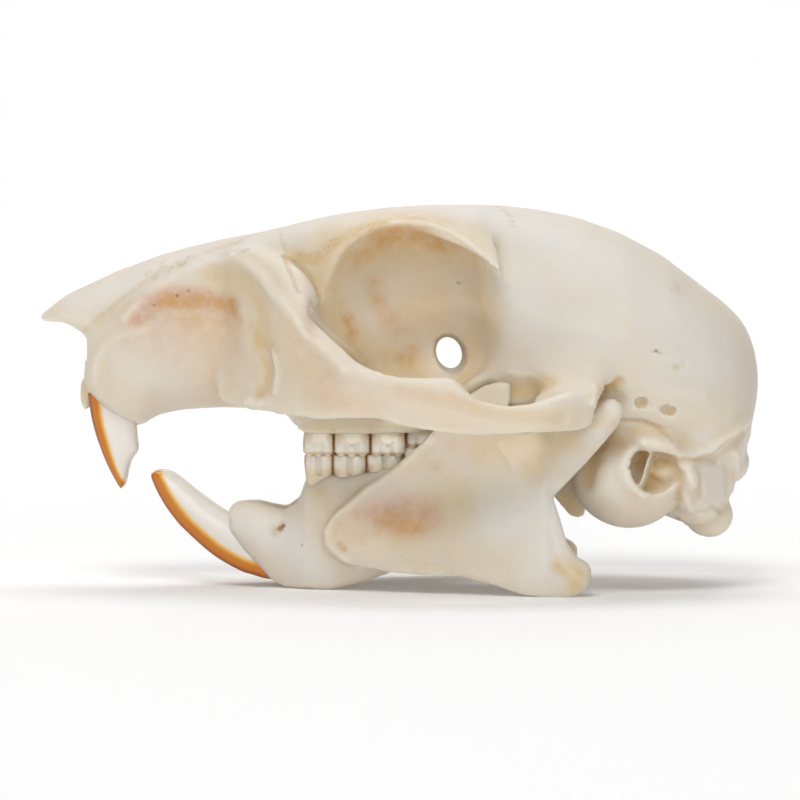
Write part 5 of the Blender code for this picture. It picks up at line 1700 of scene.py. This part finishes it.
UPPER_ROW = ToothRow(
    level="upper", ends=((-8.6, -6.15), (-5.8, -2.85), (-2.5, 0.35), (0.7, 3.5)),
    across=(-5.9, -6.0, -6.0, -5.8), gum=(14.4, 14.4, 14.4, 14.5), bite=(12.5, 12.5, 12.5, 13.25),
    root=(16.4, 16.4, 16.4, 16.4), half_width=1.5, lobe_depth=0.16, outer_cusps=(-0.62, 0.0, 0.62),
    groove_start=0.6)
LOWER_ROW = ToothRow(
    level="lower", ends=((-8.5, -6.25), (-5.9, -3.2), (-2.85, 0.05), (0.45, 3.3)),
    across=(-5.2, -5.3, -5.5, -5.7), gum=(10.6, 10.6, 11.0, 11.9), bite=(12.35, 12.35, 12.4, 13.05),
    root=(9.0, 9.0, 9.6, 10.6), half_width=1.3, lobe_depth=0.3, outer_cusps=(-0.5, 0.5),
    groove_start=0.05)


@dataclass
class CheekTeeth:
    """The sixteen worn cheek teeth, with cusps and the grooves between them.

    Levels and cusps are shares of a crown's height and half-length; the other sizes are millimetres.
    """

    voxel: float = 0.07
    smoothing: int = 3
    grow: float = 0.19
    names: tuple[str, ...] = ("premolar", "molar_1", "molar_2", "molar_3")
    swell: tuple[tuple[float, float], ...] = (
        (-0.25, 0.90), (0.1, 0.96), (0.35, 1.0), (0.65, 1.02), (0.94, 1.0), (1.03, 0.86))
    root_size: float = 0.6
    squareness: float = 3.4
    end_trim: float = 0.25
    inner_cusps: tuple[float, ...] = (-0.5, 0.5)
    basin_radius: float = 1.0
    basin_depth: float = 0.35
    cusp_inset: float = 0.3
    cusp_radius: float = 0.55
    cusp_height: float = 0.24
    groove_radius: float = 0.42
    groove_overrun: float = 0.3
    notch_depth: float = 0.22
    dot_level: float = 0.6
    corner_level: float = 0.05
    finish: CheekEnamelFinish = field(default_factory=CheekEnamelFinish)

    def shape(self, row: ToothRow, k: int) -> Blank:
        """Builds and paints a left tooth.

        Args:
            row: The row it stands in.
            k: Its number in the row, from the front.

        Returns:
            The blank.
        """
        low, high = row.ends[k]
        middle, half_length = (low + high) / 2, (high - low) / 2 + self.grow
        half_width = row.half_width - (self.end_trim if k in (0, 3) else 0.0)
        gum, bite, root, y = row.gum[k], row.bite[k], row.root[k], row.across[k]
        rise = bite - gum
        levels = [(root - gum, self.root_size)] + [(rise * level, size) for level, size in self.swell]
        crown = [
            Section(Vector((middle, y, gum + z)), Vector((half_length * size, 0, 0)),
                    Vector((0, half_width * size, 0)), Vector((0, -half_width * size, 0)),
                    self.squareness, self.squareness)
            for z, size in levels
        ]
        blank = Blank(f"{row.level}_{self.names[k]}_enamel_left", [Shape.loft(crown, 32)])
        blank.fuse(self.voxel, self.smoothing)
        places, normals = blank.arrays()
        down = math.copysign(1.0, rise)
        top = np.clip(normals[:, 2] * down, 0.0, 1.0)
        basin = fade_out(distance_to_path(places, [(middle, y, bite)]), self.basin_radius) * top
        places[:, 2] -= down * self.basin_depth * basin
        for side in (-1, 1):
            outer = y + side * half_width
            cusps = row.outer_cusps if side < 0 else self.inner_cusps
            for along in cusps:
                tip = [(middle + along * half_length, outer - side * self.cusp_inset, bite)]
                cusp = fade_out(distance_to_path(places, tip), self.cusp_radius)
                places[:, 2] += down * self.cusp_height * cusp * top
            for before, after in zip(cusps, cusps[1:]):
                x = middle + (before + after) / 2 * half_length
                groove = [(x, outer, gum + row.groove_start * rise),
                          (x, outer, bite + self.groove_overrun * down)]
                weight = fade_out(distance_to_path(places, groove), self.groove_radius)
                places[:, 1] -= side * row.lobe_depth * weight * np.clip(normals[:, 1] * side, 0, 1)
                places[:, 2] -= down * self.notch_depth * weight * top
        blank.move_points(places)
        self.paint(blank, row, k)
        return blank

    def paint(self, blank: Blank, row: ToothRow, k: int) -> None:
        """Paints the neck of a tooth, the dot in its groove and the lines to its neighbours.

        Args:
            blank: The tooth.
            row: The row it stands in.
            k: Its number in the row.
        """
        low, high = row.ends[k]
        gum, rise = row.gum[k], row.bite[k] - row.gum[k]
        outer = row.across[k] - row.half_width
        paint = Paint(blank, self.finish.layers)
        height = (paint.places[:, 2] - gum) / rise
        paint.lay("neck", np.clip(0.9 - height * 1.6, 0.0, 1.0))
        dot = [((low + high) / 2, outer, gum + self.dot_level * rise)]
        paint.lay("stain", 0.7 * fade_out(distance_to_path(paint.places, dot), 0.32))
        for x in (low - self.grow, high + self.grow):
            paint.lay("stain", 0.95 * fade_out(np.abs(paint.places[:, 0] - x), 0.3))
            corner = [(x, outer, gum + self.corner_level * rise)]
            paint.lay("stain", fade_out(distance_to_path(paint.places, corner), 0.8))
        paint.lay("stain", 0.6 * fade_out(np.abs(paint.places[:, 2] - row.bite[k]), 0.28))
        paint.keep()

    def build(self, material: bpy.types.Material) -> list[Piece]:
        """Builds all cheek teeth.

        Args:
            material: The enamel's finish.

        Returns:
            The finished pieces.
        """
        made = []
        for row in (UPPER_ROW, LOWER_ROW):
            for k, name in enumerate(self.names):
                left = self.shape(row, k)
                right = Piece.mirrored(left, f"{row.level}_{name}_enamel_right")
                for side, blank in ((Side.LEFT, left), (Side.RIGHT, right)):
                    node = f"{row.level}_{name}_{side.word}"
                    made.append(Piece(blank, [node], "cheek_enamel", material))
        return made


@dataclass
class Incisors:
    """The four curved gnawing teeth.

    Each entry of UPPER and LOWER is a pixel on the front edge and one on the back edge, in the
    photograph, from the root to the tip, with the place across the skull and the half-width.
    """

    UPPER = (
        ((90, 384), (133, 400), -1.30, 0.82), ((88, 391), (134, 410), -1.28, 0.84),
        ((89.5, 405), (135, 425), -1.22, 0.84),
        ((92, 420), (136, 438), -1.15, 0.84), ((96, 435), (137, 450), -1.1, 0.84),
        ((99.5, 445), (131, 460), -1.06, 0.83), ((104, 457), (128, 469), -1.02, 0.82),
        ((109.5, 469), (126.5, 478), -0.99, 0.81), ((116, 481), (124.5, 484), -0.97, 0.78),
        ((120.5, 488), (122.5, 487.5), -0.96, 0.70),
    )
    LOWER = (
        ((300, 580), (296, 560), -2.9, 0.66), ((270, 579), (272, 550), -2.45, 0.74),
        ((254, 575), (262, 541), -2.15, 0.78), ((238, 569.5), (252, 533), -1.85, 0.80),
        ((212, 554), (235, 519), -1.5, 0.80), ((186, 531), (214, 504.5), -1.25, 0.80),
        ((175, 519), (200, 494), -1.12, 0.80), ((164.5, 504.5), (186.5, 483), -1.05, 0.79),
        ((156, 489), (174, 473.5), -1.0, 0.77), ((151.5, 478), (163, 470), -0.97, 0.72),
        ((151.5, 473.5), (155, 471), -0.95, 0.60),
    )
    sides: int = 40
    rounds: int = 4
    front_squareness: float = 2.8
    back_squareness: float = 2.3
    band: float = 1.6
    band_taper: float = 0.08
    tip_share: float = 14.0
    finish: IncisorFinish = field(default_factory=IncisorFinish)

    def shape(self, level: str, edges: Sequence[tuple[Pixel, Pixel, float, float]]) -> Blank:
        """Builds and paints a left incisor.

        Args:
            level: upper or lower.
            edges: Its entries in the table.

        Returns:
            The blank.
        """
        sections = []
        for row in self.refined(edges):
            front, back = Vector(row[:3]), Vector(row[3:6])
            deep = (front - back) / 2
            sections.append(Section((front + back) / 2, Vector((0, row[6], 0)), deep, -deep,
                                    self.front_squareness, self.back_squareness))
        blank = Blank(f"{level}_incisor_enamel_left", [Shape.loft(sections, self.sides)])
        paint = Paint(blank, self.finish.layers)
        ring = np.arange(len(paint.places)) // self.sides
        centres = np.array([tuple(one.centre) for one in sections])[ring]
        fronts = np.array([tuple(one.up) for one in sections])[ring]
        reach = np.linalg.norm(fronts, axis=1)
        across = ((paint.places - centres) * fronts).sum(axis=1) / reach
        along = ring / (len(sections) - 1)
        front = 1.0 - (reach - across) / self.band + self.band_taper * (0.5 - along)
        paint.lay("front", np.clip(front, 0.0, 1.0))
        paint.lay("tip", np.clip(along * self.tip_share - (self.tip_share - 1.0), 0.0, 1.0))
        paint.keep()
        return blank

    def refined(self, edges: Sequence[tuple[Pixel, Pixel, float, float]]) -> list[np.ndarray]:
        """Puts more rows between the given ones, on smooth curves through them.

        Args:
            edges: The entries of an incisor.

        Returns:
            Rows of the front place, the back place and the half-width.
        """
        rows = [np.array((*VIEW.on_plane(front, y), *VIEW.on_plane(back, y), wide))
                for front, back, y, wide in edges]
        found = []
        for k in range(len(rows) - 1):
            before, start = rows[max(k - 1, 0)], rows[k]
            end, after = rows[k + 1], rows[min(k + 2, len(rows) - 1)]
            for step in range(self.rounds):
                t = step / self.rounds
                found.append(0.5 * (2 * start + (end - before) * t
                                    + (2 * before - 5 * start + 4 * end - after) * t ** 2
                                    + (3 * start - before - 3 * end + after) * t ** 3))
        return found + [rows[-1]]

    def build(self, material: bpy.types.Material) -> list[Piece]:
        """Builds the four incisors.

        Args:
            material: The incisors' finish.

        Returns:
            The finished pieces.
        """
        made = []
        for level, edges in (("upper", self.UPPER), ("lower", self.LOWER)):
            left = self.shape(level, edges)
            right = Piece.mirrored(left, f"{level}_incisor_enamel_right")
            for side, blank in ((Side.LEFT, left), (Side.RIGHT, right)):
                made.append(Piece(blank, [f"{level}_incisor_{side.word}"], "incisor_enamel", material))
        return made


@dataclass(frozen=True)
class Lamp:
    """A square soft lamp that faces a target; sizes are in metres, power is in watts."""

    name: str
    place: Point
    size: float
    power: float
    target: Point = (0, 0, 0.018)

    def hang(self) -> None:
        """Adds the lamp to the scene."""
        light = bpy.data.lights.new(self.name, "AREA")
        light.shape = "SQUARE"
        light.size = self.size
        light.energy = self.power
        made = bpy.data.objects.new(self.name, light)
        made.location = self.place
        made.rotation_euler = (Vector(self.target) - made.location).to_track_quat("-Z", "Y").to_euler()
        bpy.context.scene.collection.objects.link(made)


@dataclass
class Studio:
    """A white paper sweep, soft lamps and the camera of the photograph, in metres."""

    half_width: float = 1.6
    front: float = -1.2
    bend: float = 0.55
    radius: float = 0.35
    height: float = 1.5
    steps: int = 24
    ambience: float = 0.16
    nearest: float = 0.01

    LAMPS = (
        Lamp("key_softbox", (-0.12, -0.46, 0.6), 0.28, 2.25),
        Lamp("front_fill", (0.1, -0.9, 0.14), 0.5, 2.1),
        Lamp("backdrop_lamp", (0.0, 0.35, 0.9), 0.7, 5.2, (0.0, 0.8, 0.1)),
    )

    def sweep(self) -> None:
        """Makes the floor and its bend up to the backdrop."""
        bm = bmesh.new()
        start = bm.verts.new((-self.half_width, self.front, 0.0))
        middle = bm.verts.new((-self.half_width, self.bend, 0.0))
        bm.edges.new((start, middle))
        bmesh.ops.spin(bm, geom=[middle], cent=(0, self.bend, self.radius), axis=(1, 0, 0),
                       dvec=(0, 0, 0), angle=math.radians(90), steps=self.steps, use_merge=False)
        bm.verts.ensure_lookup_table()
        last = max(bm.verts, key=lambda vert: vert.co.z)
        top = bmesh.ops.extrude_vert_indiv(bm, verts=[last])["verts"]
        bmesh.ops.translate(bm, verts=top, vec=(0, 0, self.height))
        wide = bmesh.ops.extrude_edge_only(bm, edges=bm.edges[:])
        moved = [part for part in wide["geom"] if isinstance(part, bmesh.types.BMVert)]
        bmesh.ops.translate(bm, verts=moved, vec=(2 * self.half_width, 0, 0))
        bmesh.ops.recalc_face_normals(bm, faces=bm.faces)
        mesh = bpy.data.meshes.new("paper_sweep")
        bm.to_mesh(mesh)
        bm.free()
        mesh.shade_smooth()
        mesh.materials.append(PaleFloorFinish().make())
        floor = bpy.data.objects.new("paper_sweep", mesh)
        bpy.context.scene.collection.objects.link(floor)

    def light(self) -> None:
        """Hangs the lamps and sets the surrounding light."""
        for lamp in self.LAMPS:
            lamp.hang()
        world = bpy.data.worlds.new("studio")
        world.use_nodes = True
        world.node_tree.nodes["Background"].inputs["Color"].default_value = (1, 1, 1, 1)
        world.node_tree.nodes["Background"].inputs["Strength"].default_value = self.ambience
        bpy.context.scene.world = world
        bpy.context.scene.view_settings.view_transform = "Standard"

    def camera(self) -> None:
        """Sets the camera at the photograph's point of view."""
        data = bpy.data.cameras.new("camera")
        data.sensor_width = VIEW.sensor
        data.lens = VIEW.lens
        data.clip_start = self.nearest
        made = bpy.data.objects.new("camera", data)
        made.location = VIEW.eye * MILLIMETRE
        made.rotation_euler = VIEW.forward.to_track_quat("-Z", "Y").to_euler()
        bpy.context.scene.collection.objects.link(made)
        bpy.context.scene.camera = made


def clear_scene() -> None:
    """Removes what a new file holds."""
    for thing in list(bpy.data.objects):
        bpy.data.objects.remove(thing)


def main() -> None:
    """Builds the skull's pieces around the frame, then the studio."""
    logging.basicConfig(level=logging.INFO, format="%(name)s: %(message)s")
    clear_scene()
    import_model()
    studio = Studio()
    studio.camera()
    bone = BoneFinish().make()
    Cranium().build(bone)
    Mandible().build(bone)
    CheekTeeth().build(CheekEnamelFinish().make())
    Incisors().build(IncisorFinish().make())
    studio.sweep()
    studio.light()


if __name__ == "__main__":
    main()
